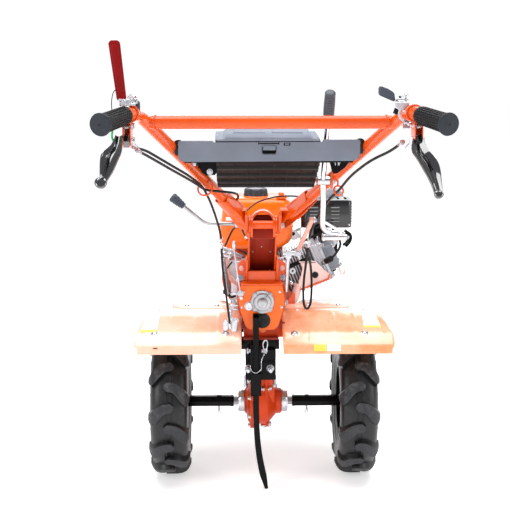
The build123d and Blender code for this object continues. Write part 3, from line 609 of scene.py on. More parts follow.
for name, mat in FIRST.items():
    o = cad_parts[name]
    for s in o.material_slots:
        s.material = mat

# ------------------------------------------------------------------ wheels
CARCASS = [(0, 190.5), (4, 190.5), (5, 192.4), (8, 192.4), (9, 190.3), (22, 189.6), (34, 187), (42, 182.5), (47.5, 175.5), (50.5, 167), (52, 158),
           (51.8, 150), (51.0, 147.2), (51.6, 146.2), (50.2, 144.8), (48, 136), (46.6, 130.4), (47.4, 129.2), (45.6, 127.6), (43, 120), (42.6, 117.8), (38.6, 117.4), (38.4, 104.2)]
INSIDE = [(29, 104.2), (29, 120), (41, 139), (45, 158), (44, 174), (37, 183), (20, 186), (0, 186.5)]


def carcass_r(x):
    x = abs(x)
    if x >= 51.5:
        return 163.0
    for (xa, ra), (xb, rb) in zip(CARCASS, CARCASS[1:]):
        if xa <= x <= xb:
            return ra + (rb - ra) * (x - xa) / max(xb - xa, 1e-6)
    return 163.0


def top_r(x):
    x = abs(x)
    pts = [(0, 204.9), (20, 204.7), (32, 202.6), (42, 198.4), (47, 193.5), (51.5, 186.5), (56, 176)]
    for (xa, ra), (xb, rb) in zip(pts, pts[1:]):
        if xa <= x <= xb:
            return ra + (rb - ra) * (x - xa) / (xb - xa)
    return 176.0


def on_wheel(sx, x, th, r):
    """th runs up from the rearmost point of the wheel."""
    return (sx * TRACK + x, -r * math.cos(th), AXLE_Z + r * math.sin(th))


def lug(side, th0):
    """One tread bar: round head just over the middle, nearly level, then sloping down to the shoulder."""
    line = soften([(-14, 15), (4, 14.5), (20, 10), (33, -4), (46, -19), (56, -28)], 4)
    line = [Vector((p.x, p.y, 0)) for p in [Vector((a[0], a[1], 0)) for a in line]]
    out = []
    d = [0.0]
    for a, b in zip(line, line[1:]):
        d.append(d[-1] + (b - a).length)
    for i, p in enumerate(line):
        a, b = line[max(i - 1, 0)], line[min(i + 1, len(line) - 1)]
        t = (b - a).normalized()
        n = Vector((-t.y, t.x, 0))
        w = 13.4 + 1.8 * min(1.0, d[i] / 60)
        if d[i] < 11.5:
            w *= math.sqrt(max(0.0, 1 - (1 - (d[i] + 0.9) / 12.4) ** 2))
        sec = []
        for off, up in ((-w - 2.4, 0), (-w - 0.6, 0.8), (-w + 0.7, 1), (-w * 0.33, 1), (w * 0.33, 1), (w - 0.7, 1), (w + 0.6, 0.8), (w + 2.4, 0)):
            q = p + n * off
            x = max(-56.0, min(56.0, q.x))
            lo, hi = carcass_r(x) - 2.5, top_r(x)
            sec.append((side * x, (q.y / 205) + th0, lo + (hi - lo) * up))
        out.append(sec)
    return out


def wheel(side, name):
    sx = -1 if side == "left" else 1
    body = side + "_wheel"
    p = Piece("tyre_" + side + "_tread", body)
    p.use(TYRE)
    prof = [(-x, r) for x, r in CARCASS[::-1]] + CARCASS[1:] + INSIDE + [(-x, r) for x, r in INSIDE[::-1][1:]]
    m = at((sx * TRACK, 0, AXLE_Z), (1, 0, 0), (0, 1, 0))
    p.add(lathe(prof, 144, ring=True), m)
    # mould joint lines and vent nibs on the side walls
    for s in (-1, 1):
        for k in range(22):
            a = math.radians(k * 360 / 22 + 5)
            c = (sx * TRACK + s * 49.5, -157 * math.cos(a), AXLE_Z + 157 * math.sin(a))
            c2 = (sx * TRACK + s * 51.9, -171 * math.cos(a + 0.02), AXLE_Z + 171 * math.sin(a + 0.02))
            if k % 2:
                p.add(tube([Vector(c) + Vector((s * 2.2, 0, 0)), Vector(c2) - Vector((s * 1.6, 0, 0))], 0.9, 6))
    n = 11
    for s in (-1, 1):
        for k in range(n):
            th0 = 2 * math.pi * (k + (0.5 if s < 0 else 0.0)) / n + 0.115
            sections = lug(s * sx, th0)
            rings = [[on_wheel(sx, x, th, r) for x, th, r in sec] for sec in sections]
            v, f = loft(rings)
            top = {(i * 8 + j) for i in range(len(rings)) for j in (2, 3, 4, 5)}
            p.use(TREAD)
            p.add((v, [q for q in f if all(i in top for i in q)]))
            p.use(TYRE)
            p.add((v, [q for q in f if not all(i in top for i in q)]))
    p.make(("tyre_" + side,), "tyre", sharp=40)

    # bolts through the disc and the hub flange, weld round the hex tube, valve, split pin
    q = Piece("wheel_fixings_" + side, body)
    q.use(ZINC)
    for k in range(4):
        a = math.radians(90 * k)
        y, z = 37 * math.cos(a), AXLE_Z + 37 * math.sin(a)
        q.bolt((sx * (TRACK + 3), y, z), (sx, 0, 0), 13, 6.5)
        q.bolt((sx * (TRACK - 10), y, z), (-sx, 0, 0), 13, 9.0)
        q.add(rod((sx * (TRACK - 22), y, z), (sx * (TRACK - 10), y, z), 3.9, 12))
    q.use(BLACK)
    ringp = [Vector((sx * (TRACK - 10.5), 17.5 * math.cos(t * math.pi / 18), AXLE_Z + 17.5 * math.sin(t * math.pi / 18))) for t in range(37)]
    q.add(sweep(ringp[:-1], ring2(2.6, 8), up=(1, 0, 0), closed=True))
    q.use(GRIP)
    q.add(rod((sx * (TRACK + 8), 0, AXLE_Z + 92), (sx * (TRACK + 36), 0, AXLE_Z + 80), 4.6, 14))
    q.use(ZINC)
    q.add(rod((sx * (TRACK + 34), 0, AXLE_Z + 81), (sx * (TRACK + 43), 0, AXLE_Z + 77), 3.4, 12))
    for e in (-1, 1):
        q.add(tube(soften([(sx * 125 + e * 1.4, -4.8, AXLE_Z - 24), (sx * 125 + e * 2.0, -5.6, AXLE_Z - 29), (sx * 125 + e * 4.6, -5.6, AXLE_Z - 37)], 5), 1.3, 8))
    q.add(tube(soften([(sx * 125 - 3, -5.4, AXLE_Z - 24), (sx * 125, -8.6, AXLE_Z - 21), (sx * 125 + 3, -5.4, AXLE_Z - 24)], 5), 1.3, 8))
    q.make(slot="zinc")

    # hexagon collar round the hub tube
    h = Piece("hub_detail_" + side, body)
    h.use(BLACK)
    m = at((sx * 83.5, 0, AXLE_Z), (sx, 0, 0), (0, 1, 0))
    h.add(lathe([(0, 14.2), (0, 16.6), (0.8, 17.0), (7, 17.0), (7.8, 16.6), (7.8, 14.2)], 6, ring=True), m @ Matrix.Rotation(0, 4, "Z"))
    h.make(slot="black_paint")


wheel("left", "left")
wheel("right", "right")
for side in ("left", "right"):
    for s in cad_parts["rim_" + side].material_slots:
        s.material = BLACK

# ------------------------------------------------------------------ final drive
fd = Piece("final_drive_casting", "chassis")
fd.use(CASE)
mx_ = at((0, 0, AXLE_Z), (1, 0, 0), (0, 1, 0))
fd.add(lathe([(-51.8, 0), (-51.8, 33), (-50, 35.5), (-47, 37), (-45, 49), (-41.5, 60), (-38, 65.5), (-37.5, 72.5), (-36.5, 73.5), (-31, 73.5), (-30.4, 72.4),
              (-30.4, 71.6), (-29.6, 71.6), (-29.6, 73.5), (-24, 73.5), (-23, 72), (-22, 68), (-18, 66.5), (6, 66.5), (12, 65), (17, 61), (34, 41), (36.5, 38),
              (39, 37), (49.5, 36.4), (51.8, 35), (51.8, 0)], 72), mx_)
for k in range(8):
    a = math.radians(22.5 + 45 * k)
    c, s = math.cos(a), math.sin(a)
    # bolt bosses on the joint flange
    fd.use(CASE)
    fd.add(rod((-36.5, 70 * c, AXLE_Z + 70 * s), (-23, 70 * c, AXLE_Z + 70 * s), 8.6, 16, 1.2))
    # stiffening ribs of the left cover
    rib = [(-50, 36), (-46, 41), (-41, 63), (-36, 70), (-36, 60), (-44, 36)]
    r0 = Matrix.Translation((0, 0, AXLE_Z)) @ Matrix.Rotation(a + math.radians(22.5), 4, "X")
    vf = loft([[(x, -2.2, r) for x, r in rib], [(x, 2.2, r) for x, r in rib]])
    fd.add(bevelled(*vf, 0.7), r0)
# leg up to the gearbox, in two halves with a bolted joint
outline = [(-58, 214), (-66, 330), (-98, 436), (34, 436), (42, 330), (52, 214)]
fd.add(prism([(-52, 214), (-59, 330), (-90, 438), (28, 438), (35, 330), (46, 214)], -18, 32, "x", 5, 2))
fd.add(prism([(-60, 232), (-67, 330), (-97, 434), (35, 434), (43, 330), (53, 232)], 5, 11, "x", 1.2))
for side in (-1, 1):
    for t in (0.12, 0.36, 0.6, 0.84):
        y = (-60 - 7 * min(1, t * 2) - (0 if t < 0.5 else (t - 0.5) * 60)) if side < 0 else (53 - 10 * min(1, t * 2) - (0 if t < 0.5 else (t - 0.5) * 16))
        z = 232 + t * 202
        fd.add(rod((1, y + (4 if side < 0 else -4), z), (15, y + (4 if side < 0 else -4), z), 7.4, 14, 1))
for z in (262, 300, 338, 376):
    w = [(-50, z), (-50, z + 5), (38, z + 5), (38, z)]
    fd.add(prism(w, -20, -17, "x", 1.0))
    fd.add(prism(w, 31, 34, "x", 1.0))
# foot flange that meets the gearbox, drain lug under the bell
fd.add(box(-55.6, 55.6, -100, 40, 414.5, 440, 3, 2))
fd.add(rod((8, -28, AXLE_Z - 61), (17, -28, AXLE_Z - 61), 8, 16, 1.2))
fd.add(rod((3, 0, AXLE_Z - 60), (3, 0, AXLE_Z - 73.5), 9, 18, 1.5))
fd.use(ZINC)
for k in range(8):
    a = math.radians(22.5 + 45 * k)
    fd.bolt((-36.5, 70 * math.cos(a), AXLE_Z + 70 * math.sin(a)), (-1, 0, 0), 10, 6.0)
    fd.add(rod((-23, 70 * math.cos(a), AXLE_Z + 70 * math.sin(a)), (-17, 70 * math.cos(a), AXLE_Z + 70 * math.sin(a)), 3.6, 10))
for side in (-1, 1):
    for t in (0.12, 0.36, 0.6, 0.84):
        y = (-60 - 7 * min(1, t * 2) - (0 if t < 0.5 else (t - 0.5) * 60)) if side < 0 else (53 - 10 * min(1, t * 2) - (0 if t < 0.5 else (t - 0.5) * 16))
        z = 232 + t * 202
        yy = y + (4 if side < 0 else -4)
        fd.bolt((1, yy, z), (-1, 0, 0), 10, 5.5)
        fd.bolt((15, yy, z), (1, 0, 0), 10, 6.5)
fd.bolt((3, 0, AXLE_Z - 73.0), (0, 0, -1), 13, 5)
fd.bolt((17, -28, AXLE_Z - 61), (1, 0, 0), 12, 5)
fd.make(("final_drive_case",), "casting", sharp=35)

bc = Piece("bearing_cap_rings", "chassis")
bc.use(ZINC)
for s in (-1, 1):
    m = at((s * 52, 0, AXLE_Z), (s, 0, 0), (0, 1, 0))
    bc.add(lathe([(0, 11.2), (0, 30.5), (1, 32), (13.5, 32), (15.5, 30.8), (18, 30.4), (18, 21), (15.5, 20), (15.5, 11.2)], 48, ring=True), m)
    bc.use(DARK)
    bc.add(lathe([(12, 11.1), (12, 19.9), (16.4, 19.6), (16.4, 11.1)], 36, ring=True), m)
    bc.use(ZINC)
    for k in range(3):
        a = math.radians(30 + 120 * k)
        bc.add(rod((s * 69, 25.6 * math.cos(a), AXLE_Z + 25.6 * math.sin(a)), (s * 70.6, 25.6 * math.cos(a), AXLE_Z + 25.6 * math.sin(a)), 3.4, 12, 0.4))
bc.make(("bearing_caps",), "zinc")

# ------------------------------------------------------------------ hub tubes: hexagon tube, disc flange, split pin
for s, name in ((-1, "left"), (1, "right")):
    hu = Piece("hub_tube_bar_" + name, name + "_wheel")
    hu.use(BLACK)
    m = at((s * 83, 0, 205), (s, 0, 0), (0, 0, 1))

    def hexring(r, k=0.96):
        out = []
        for q in range(6):
            for off in (-0.08, 0.08):
                a = math.radians(30 + 60 * q) + off
                out.append((r / math.cos(math.radians(30)) * k * math.cos(a), r / math.cos(math.radians(30)) * k * math.sin(a)))
        return out
    big, small = hexring(14.0, 0.985), hexring(11.4, 1.0)

    outer = [[(x * k, y * k, t) for x, y in big] for k, t in ((0.97, 0.0), (1.0, 1.0), (1.0, 173.0), (0.97, 174.0))]
    inner = [[(x, y, t) for x, y in small] for t in (174.0, 0.0)]
    hu.add(loft(outer + inner + [outer[0]], caps=False), m)
    hu.add(lathe([(167, 14), (167, 45.6), (168.4, 47), (172.6, 47), (174, 45.6), (174, 14)], 56, ring=True), m)
    for q in range(4):
        a = math.radians(45 + 90 * q)
        hu.add(lathe([(155, 0), (155, 4.0), (160, 5.4), (167.5, 7.6), (167.5, 0)], 6), at((s * 83, 20 * math.cos(a), 205 + 20 * math.sin(a)), (s, 0, 0)))
    hu.use(ZINC)
    for q in range(4):
        a = math.radians(45 + 90 * q)
        hu.bolt((s * 250, 33 * math.cos(a), 205 + 33 * math.sin(a)), (-s, 0, 0), 13, 6)
    # pin through the tube with its looped head and two prongs
    hu.use(BLACK)
    hu.add(lathe([(12.6, 0), (12.6, 6.4), (15.4, 6.4), (16.2, 5.6), (16.2, 0)], 24), at((s * 125, 0, 205), (0, 0, 1)))
    hu.use(ZINC)
    hu.add(rod((s * 125, 0, 219), (s * 125, 0, 223), 3.4, 16, 0.8))
    for e in (-1, 1):
        hu.add(tube([(s * 125 + e * 0.9, 0, 192), (s * 125 + e * 1.2, 0, 184), (s * 125 + e * 2.0, 0, 174.5)], 1.5, 8))
    hu.add(lathe([(0, 0), (0, 2.6), (6, 2.2), (6, 0)], 16), at((s * 125, 0, 192), (0, 0, -1)))
    hu.make(("hub_tube_" + name,), "black_paint", sharp=25)

# ------------------------------------------------------------------ gearbox
GX, CZ = -5.0, 522.0
gb = Piece("gearbox_casting", "chassis")
gb.use(CASE)
body = [(-64, 565), (-69, 540), (-70, 520), (-64, 492), (-47, 450), (-38, 441), (26, 441), (36, 450), (50, 492), (56, 520), (55, 540), (51, 565)]
gb.add(prism(body, -112, 26, "y", 4, 2))
# joint flanges at both ends, ribs and bosses along the sides
for y0, y1, g in ((-120, -110, 3.0), (20, 30, 3.0)):
    gb.add(prism([(x + math.copysign(g, x + 6), z + (g if z > 500 else -g) * 0.6) for x, z in body], y0, y1, "y", 1.6, 2))
for y in (-84, -56, -28, -2):
    for s, xs in ((-1, -70), (1, 56)):
        gb.add(prism([(xs - s * 6, 470), (xs + s * 1.5, 500), (xs + s * 2.6, 520), (xs + s * 1.0, 558), (xs - s * 6, 562)], y - 2.2, y + 2.2, "y", 1.0))
gb.add(box(-60, 48, -116, 26, 560, 567, 2, 2))
for x in (-58, 46):
    for y in (-104, -70, -36, 0):
        gb.add(rod((x, y, 552), (x, y, 567), 8, 16, 1.2))
my = at((GX, 24, CZ), (0, 1, 0))
gb.add(lathe([(0, 0), (0, 62), (3, 64), (14, 64), (16, 60), (21.8, 60), (21.8, 0)], 48), my)
gb.use(ZINC)
for k in range(4):
    a = math.radians(45 + 90 * k)
    gb.bolt((GX + 58 * math.cos(a), 30, CZ + 58 * math.sin(a)), (0, -1, 0), 12, 7)
for s, xs in ((-1, -71), (1, 57)):
    gb.bolt((xs + s * 1.0, -98, 512), (s, 0, 0), 14, 6)
    gb.bolt((xs + s * 0.5, -14, 486), (s, 0, 0), 12, 5)
gb.make(("gearbox",), "casting", sharp=35)

gc = Piece("gearbox_end_cover", "chassis")
gc.use(COVER)
cov = [(-61, 566), (-64, 563), (-69, 530), (-69.5, 518), (-63, 490), (-50, 455), (-45, 449), (-38, 444), (-14, 442.5), (-11, 437.5), (-4, 434.5), (3, 437.5), (6, 442.5),
       (26, 444), (33, 449), (38, 455), (49, 490), (55.5, 518), (55, 530), (50, 563), (47, 566)]
gc.add(plate(cov, [circle2(GX, CZ, 19.8, 40), circle2(-4, 470, 14.8, 32)], -129.5, -120, "y"))
gc.add(plate([(x * 0.985 - 0.1, 505 + (z - 505) * 0.985) for x, z in cov], [circle2(GX, CZ, 19.8, 40), circle2(-4, 470, 14.8, 32)], -132, -129.5, "y"))
# machined pad round the shaft cap, drawn edge of the opening for the plug
mb = at((GX, -131.8, CZ), (0, -1, 0))
gc.add(lathe([(0, 20), (0, 37), (0.9, 36.4), (0.9, 20)], 56, ring=True), mb)
mp_ = at((-4, -131.5, 470), (0, -1, 0))
gc.add(lathe([(0, 15), (0, 23.5), (2.2, 22.5), (2.2, 15)], 44, ring=True), mp_)
gc.use(ZINC)
for p in ((-56, 548), (42, 548), (-60, 506), (47, 506)):
    gc.dome((p[0], -132, p[1]), (0, -1, 0), 3.6, 1.6)
# oil level plug, left of the shaft cap and below it
gc.bolt((-62, -130, 532), (0, -1, 0), 9, 5)
gc.add(lathe([(0, 0), (0, 12.4), (1.4, 12.4), (1.8, 11.6), (1.8, 10.6), (7, 10.4), (8, 9.6), (8, 5.2), (5.2, 5.0), (5.2, 0)], 28), at((-41, -132, 510), (0, -1, 0)))
gc.make(("gearbox_rear_cover",), "orange", sharp=35)

pf = Piece("shaft_cap", "chassis")
pf.use(STEEL)
m = at((GX, -120, CZ), (0, -1, 0))
pf.add(lathe([(0, 0), (0, 19.6), (12, 19.6), (12, 31), (12.8, 32), (18.6, 32), (20, 30.8), (20, 25), (21, 24.2), (26.4, 23.2), (28, 21.8), (28, 14.4),
              (28.8, 13.6), (29.6, 13.6), (38.4, 12.6), (40.4, 11.4), (41.4, 9.4), (41.4, 5.0), (40.4, 4.6), (40.4, 0)], 64), m)
for k in range(4):
    a = math.radians(45 + 90 * k)
    q = (GX + 27.4 * math.cos(a), -139.6, CZ + 27.4 * math.sin(a))
    pf.bolt(q, (0, -1, 0), 9.2, 4.6, turn=0.2 * k)
# grease nipple
pf.add(rod((GX + 10, -148, CZ + 17), (GX + 13, -152, CZ + 21), 2.2, 12, 0.4))
pf.make(("pto_flange",), "zinc", sharp=30)

rp = Piece("rubber_cap", "chassis")
rp.use(GRIP)
m = at((-4, -120, 470), (0, -1, 0))
rp.add(lathe([(0, 0), (0, 14.4), (12, 14.4), (12, 19.8), (13, 20.8), (15.4, 20.8), (17.4, 18.8), (18.6, 16), (18.9, 12), (17.6, 11.4), (17.6, 4.4), (18.7, 3.6), (18.9, 0)], 40), m)
for k in range(3):
    a = math.radians(90 + 120 * k)
    d = Vector((math.cos(a), 0, math.sin(a)))
    c = Vector((-4, -138.2, 470))
    rp.add(tube([c + d * 4, c + d * 12], 0.9, 8))
rp.make(("rubber_plug",), "rubber")

# ------------------------------------------------------------------ hitch bracket and drag stake
hb = Piece("hitch_block", "chassis")
hb.use(BLACK)
hb.add(box(-64, 42, -117, -101, 385, 411, 1.6, 2))
hb.add(box(-60, 38, -112, -66, 392, 399, 1.2))
# cast block with a rough upper edge
top = [(-51, 386), (-44, 389), (-37, 386.5), (-30, 388.5), (-22, 385.5), (-14, 387.6), (-6, 385.8), (2, 389), (10, 386.6), (18, 388.4), (26, 386), (32, 387)]
hb.add(prism([(-51, 357)] + top + [(32, 357)], -134, -101, "y", 1.2))
hb.add(box(-51, 32, -134.5, -115, 303, 357, 2.0, 2))
hb.add(box(-47, 28, -136.2, -134, 322, 350, 0.8))
for x0, x1 in ((-38, -31.4), (-14.6, -8)):
    hb.add(prism([(-134, 345), (-168, 345), (-171.5, 349), (-171.5, 404), (-168, 408), (-134, 408)], x0, x1, "x", 1.0))
# sleeve that guides the stake
hb.add(box(-37.5, -31.6, -171, -134, 268.5, 330, 1.4))
hb.add(box(-14.4, -8.5, -171, -134, 268.5, 330, 1.4))
hb.add(box(-37.5, -8.5, -171.5, -166.6, 268.5, 330, 1.4))
hb.add(box(-37.5, -8.5, -141.2, -134, 268.5, 330, 1.0))
for z in (270, 329):
    hb.add(tube([(-37.5, -171, z), (-8.5, -171, z)], 1.6, 8))
# darker plates in the gaps above the hitch block: painted shade
hb.use(INNER_SHADE)
hb.add(box(-62, 40, -117.6, -102, 411.2, 418.5, 0.8))
hb.add(box(-62, 58, -99, -60, 438, 456, 1.6))
hb.use(ZINC)
for x in (-44, 17):
    m = at((x, -134.5, 336), (0, -1, 0))
    hb.add(lathe([(0, 0), (0, 10.4), (1.6, 10.4), (2, 9.8), (2, 0)], 24), m)
    hb.bolt((x, -136, 336), (0, -1, 0), 16, 12, washer=False, turn=0.5)
    hb.add(rod((x, -147, 336), (x, -164, 336), 5.4, 16, 0.9))
for x in (-50, 30):
    hb.add(rod((x, -116, 312), (x, -120, 286), 4.4, 14, 0.8))
    hb.bolt((x, -121, 286), (0, -0.3, -1), 10, 6)
hb.make(("hitch_bracket",), "black_paint", sharp=35)

ds = Piece("drag_stake_bar", "chassis")
ds.use(BLACK)
line = soften([(-23, -154, 492), (-23, -154, 400), (-23, -154, 300), (-22.5, -154, 220), (-20, -154, 150), (-14, -154, 96), (-6, -154, 52), (2, -154, 22), (6.3, -154, 1.6)], 7)
sec = [(-11.4, -7.2), (-11.4, 7.2), (-10.4, 8.0), (10.4, 8.0), (11.4, 7.2), (11.4, -7.2), (10.4, -8.0), (-10.4, -8.0)]


def stake_scale(t):
    return (1 - 0.18 * max(0, (t - 0.8) / 0.2), 1.0 + 0.1 * max(0, min(1, (t - 0.5) / 0.3)) - 0.55 * max(0, (t - 0.84) / 0.16) ** 1.4)


ds.add(sweep(line, sec, up=(0, 1, 0), scale=stake_scale))
# bevelled head; dark discs on both faces where the pin holes are, as painted shade in place of the holes
ds.add(prism([(-30.6, 491), (-27, 492), (-15, 492), (-15, 484), (-31, 484)], -165.4, -142.6, "y", 0.8))
ds.use(DARK)
for z in (454, 422, 358):
    for e in (-1, 1):
        ds.add(lathe([(0, 0), (0, 5.2), (0.25, 5.2), (0.25, 0)], 20), at((-23 + e * 7.9, -154, z), (e, 0, 0)))
ds.make(("drag_stake",), "black_paint", sharp=30)

hp = Piece("hitch_pin_clip", "chassis")
hp.use(ZINC)
hp.add(rod((-47, -154, 390), (4, -154, 390), 4.9, 20, 1.0))
hp.add(lathe([(0, 0), (0, 8.6), (1, 9.2), (4, 9.2), (5.4, 8), (5.8, 5.2), (5.8, 0)], 24), at((-42, -154, 390), (-1, 0, 0)))
# spring clip through the pin's end, standing up in a loop
clip = soften([(-1, -154, 378), (-1, -157, 388), (-2, -161, 398), (-5, -166, 410), (-2, -168, 421), (5, -167, 424), (9, -164, 415), (7, -161, 402), (4, -160, 394), (4.5, -160, 384)], 6)
hp.add(tube(clip, 1.9, 10))
hp.add(lathe([(-1.6, 2.2), (-1.6, 6.4), (0, 7.0), (1.6, 6.4), (1.6, 2.2)], 20, ring=True), at((2.2, -160.5, 392), (0.2, -1, 0.3)))
# retaining wire hanging in a loose ring to the sleeve
wire = soften([(-1, -163, 384), (-6, -168, 374), (-9, -172, 362), (-8, -174, 350), (-10, -175, 340)], 6)
hp.use(CHROME)
hp.add(tube(wire, 0.8, 8))
# small ring round the stake above its sleeve
hp.add(tube(soften([(-10, -175.6, 345), (-16, -176.4, 337), (-24, -176.8, 334), (-32, -176.4, 337), (-37, -173, 345), (-38.5, -166, 352)], 6), 1.1, 8))
hp.make(("hitch_pin",), "zinc")

# ------------------------------------------------------------------ column and its foot
PY, PZ = -215.0, 745.0
cf = Piece("column_foot_plate", "chassis")
cf.use(ORANGE)
cf.add(plate([(-56, -118), (-50, -122), (38, -122), (44, -118), (44, -20), (36, -12), (-48, -12), (-56, -20)], [circle2(-6, -52, 17, 24)], 567, 575, "z"))
# folded rear edge over the gearbox cover, thin lip across the channel
cf.add(prism([(-122, 575), (-134.2, 571), (-134.2, 566), (-122, 568)], -62, 50, "x", 0.7))
cf.add(prism([(-112.6, 574), (-116, 603), (-111.5, 604.5), (-108.6, 574)], -44, 32, "x", 0.8))
for x0, x1 in ((-50.4, -44.4), (32.4, 38.4)):
    cf.add(prism([(-114, 574), (-150, 638), (-146, 645), (-104, 645), (-96, 640), (-32, 574)], x0, x1, "x", 1.0))
# outer wings that carry the bolts
for s, x0 in ((-1, -50), (1, 38)):
    cf.add(prism([(x0, 574), (x0, 628), (x0 + s * 8, 634), (x0 + s * 20, 622), (x0 + s * 22, 596), (x0 + s * 12, 580), (x0 + s * 10, 574)], -110, -104, "y", 1.0))
    cf.add(prism([(-110, 574), (-108, 596), (-60, 580), (-40, 574)], x0 + s * 19 - 2, x0 + s * 19 + 2, "x", 0.8))
cf.use(PINK_SHEEN)
for s, x in ((-1, -61), (1, 49)):
    cf.add(lathe([(-1, 0), (-1, 7.4), (2.6, 7.2), (4.6, 5.6), (5.2, 3), (5.2, 0)], 20), at((x, -110, 610), (0, -1, 0)))
cf.use(ZINC)
for s, x in ((-1, -64), (1, 53)):
    cf.bolt((x, -110, 585), (0, -1, 0.35), 12, 7)
    cf.bolt((x + s * 2, -98, 577), (0, -0.8, 0.6), 11, 6, turn=0.7)
for x in (-40, 28):
    cf.bolt((x, -30, 575), (0, 0, 1), 13, 7)
cf.make(("column_foot",), "orange", sharp=35)

co = Piece("column_channel", "chassis")
co.use(ORANGE)


def back_y(z):
    return -84 - 150 * (z - 575.2) / 184.8


def front_y(z):
    return -40 - 150 * (z - 575.2) / 184.8


zs = [575.4, 600, 640, 680, 716]
for s, xo, xi in ((-1, -44, -39.2), (1, 32, 27.2)):
    rings = []
    for z in zs:
        yb, yf = back_y(z), front_y(z)
        rings.append([(xo, yb + 1.2, z), (xo - s * 1.0, yb, z), (xi + s * 1.0, yb, z), (xi, yb + 1.2, z), (xi, yf, z), (xo, yf, z)])
    co.add(loft(rings))
# front wall of the channel with its round corners seen from outside
rings = []
for z in zs:
    yf = front_y(z)
    rings.append([(-44, yf - 5.5, z), (-42.6, yf - 1.4, z), (-39, yf, z), (27, yf, z), (30.6, yf - 1.4, z), (32, yf - 5.5, z), (27, yf - 4.4, z), (-39, yf - 4.4, z)])
co.add(loft(rings))
# head: cheeks and the arched roof drawn over the cross tube
for x0, x1 in ((-38, -32.4), (20.4, 26)):
    co.add(prism([(-230, 714), (-237, 742), (-229, 760), (-214, 768), (-196, 766), (-178, 752), (-168, 716)], x0, x1, "x", 1.4, 2))
# darker plate in the head under the arched roof: painted shade
co.use(INNER_SHADE)
co.add(prism([(-206, 706), (-196, 706), (-181, 760), (-186, 768), (-192, 764)], -34, 22, "x", 0.8))
co.use(ORANGE)
arch = []
for y, ro, ri in ((-216, 31.2, 27.2), (-214.5, 32, 26.6), (-178, 32, 26.6), (-176.5, 31.2, 27.2)):
    sec = [(-6 + ro * math.cos(t), y, 750 + ro * math.sin(t)) for t in [math.pi * k / 20 for k in range(21)]]
    sec += [(-6 + ri * math.cos(t), y, 750 + ri * math.sin(t)) for t in [math.pi * k / 20 for k in range(20, -1, -1)]]
    arch.append(sec)
co.add(loft(arch))
co.add(rod((-39, PY, PZ), (27, PY, PZ), 11.4, 32, 0.8))
for x in (-38, 26):
    co.add(sweep([Vector((x, PY + 12.0 * math.cos(t), PZ + 12.0 * math.sin(t))) for t in [math.pi * 2 * k / 28 for k in range(28)]], ring2(1.9, 6), up=(1, 0, 0), closed=True))


def toothed(x0, x1, r0, r1, n=30):
    """Clamp disc with radial teeth on its rim face."""
    poly = []
    for k in range(n):
        for off, r in ((0.06, r1), (0.44, r1), (0.56, r0), (0.94, r0)):
            a = 2 * math.pi * (k + off) / n
            poly.append((PY + r * math.cos(a), PZ + r * math.sin(a)))
    return prism(poly, x0, x1, "x", 0.25)


for s, xa, xb in ((-1, -45, -38.2), (1, 33, 26.2)):
    co.add(rod((xb, PY, PZ), (xa - s * 2.4, PY, PZ), 23.4, 40, 1.0))
    co.add(toothed(min(xa - s * 2.6, xa), max(xa - s * 2.6, xa), 21.6, 23.8))
# creases inside the channel, drawn on thin liner sheets in darker paint that is painted shade, and rivets
co.use(INNER_SHADE)
for s, xi in ((-1, -39.1), (1, 27.1)):
    rings = []
    for z in zs:
        rings.append([(xi, back_y(z) + 2.4, z), (xi + (-s) * 0.5, back_y(z) + 2.8, z), (xi + (-s) * 0.5, front_y(z) - 4.6, z), (xi, front_y(z) - 4.4, z)])
    co.add(loft(rings))
rings = []
for z in zs:
    rings.append([(-38.6, front_y(z) - 4.3, z), (26.6, front_y(z) - 4.3, z), (26.6, front_y(z) - 5.0, z), (14, front_y(z) - 5.0, z), (12.5, front_y(z) - 5.9, z),
                  (9.5, front_y(z) - 5.9, z), (8, front_y(z) - 5.0, z), (-20, front_y(z) - 5.0, z), (-21.5, front_y(z) - 5.9, z), (-24.5, front_y(z) - 5.9, z), (-26, front_y(z) - 5.0, z), (-38.6, front_y(z) - 5.0, z)])
co.add(loft(rings))
# under side of the roof, in the darker paint as painted shade
co.add(loft([[( -6 + 26.4 * math.cos(t), y, 750 + 26.4 * math.sin(t)) for t in [math.pi * k / 16 for k in range(17)]] + [(-6 + 25.8 * math.cos(t), y, 750 + 25.8 * math.sin(t)) for t in [math.pi * k / 16 for k in range(16, -1, -1)]] for y in (-213, -179)]))
co.use(ZINC)
for x, z in ((-31, 656), (17, 656), (-31, 596), (17, 596), (-7, 672)):
    y = front_y(z) - 4.9
    co.dome((x, y, z), (0, -0.78, 0.63), 2.3, 1.6)
for x in (-31, 17):
    co.dome((x, front_y(656) + 0.2, 656), (0, 0.78, -0.63), 4.2, 2.4)
co.make(("column",), "orange", sharp=35)

# ------------------------------------------------------------------ handlebar
A_FOOT, A_CORNER, A_BACK, G_END = (66.0, -212.0, 772.0), (289.0, -707.0, 1062.0), (300.0, -785.0, 1068.0), (351.0, -918.0, 1053.0)


def side(s, p):
    return Vector((s * p[0], p[1], p[2]))


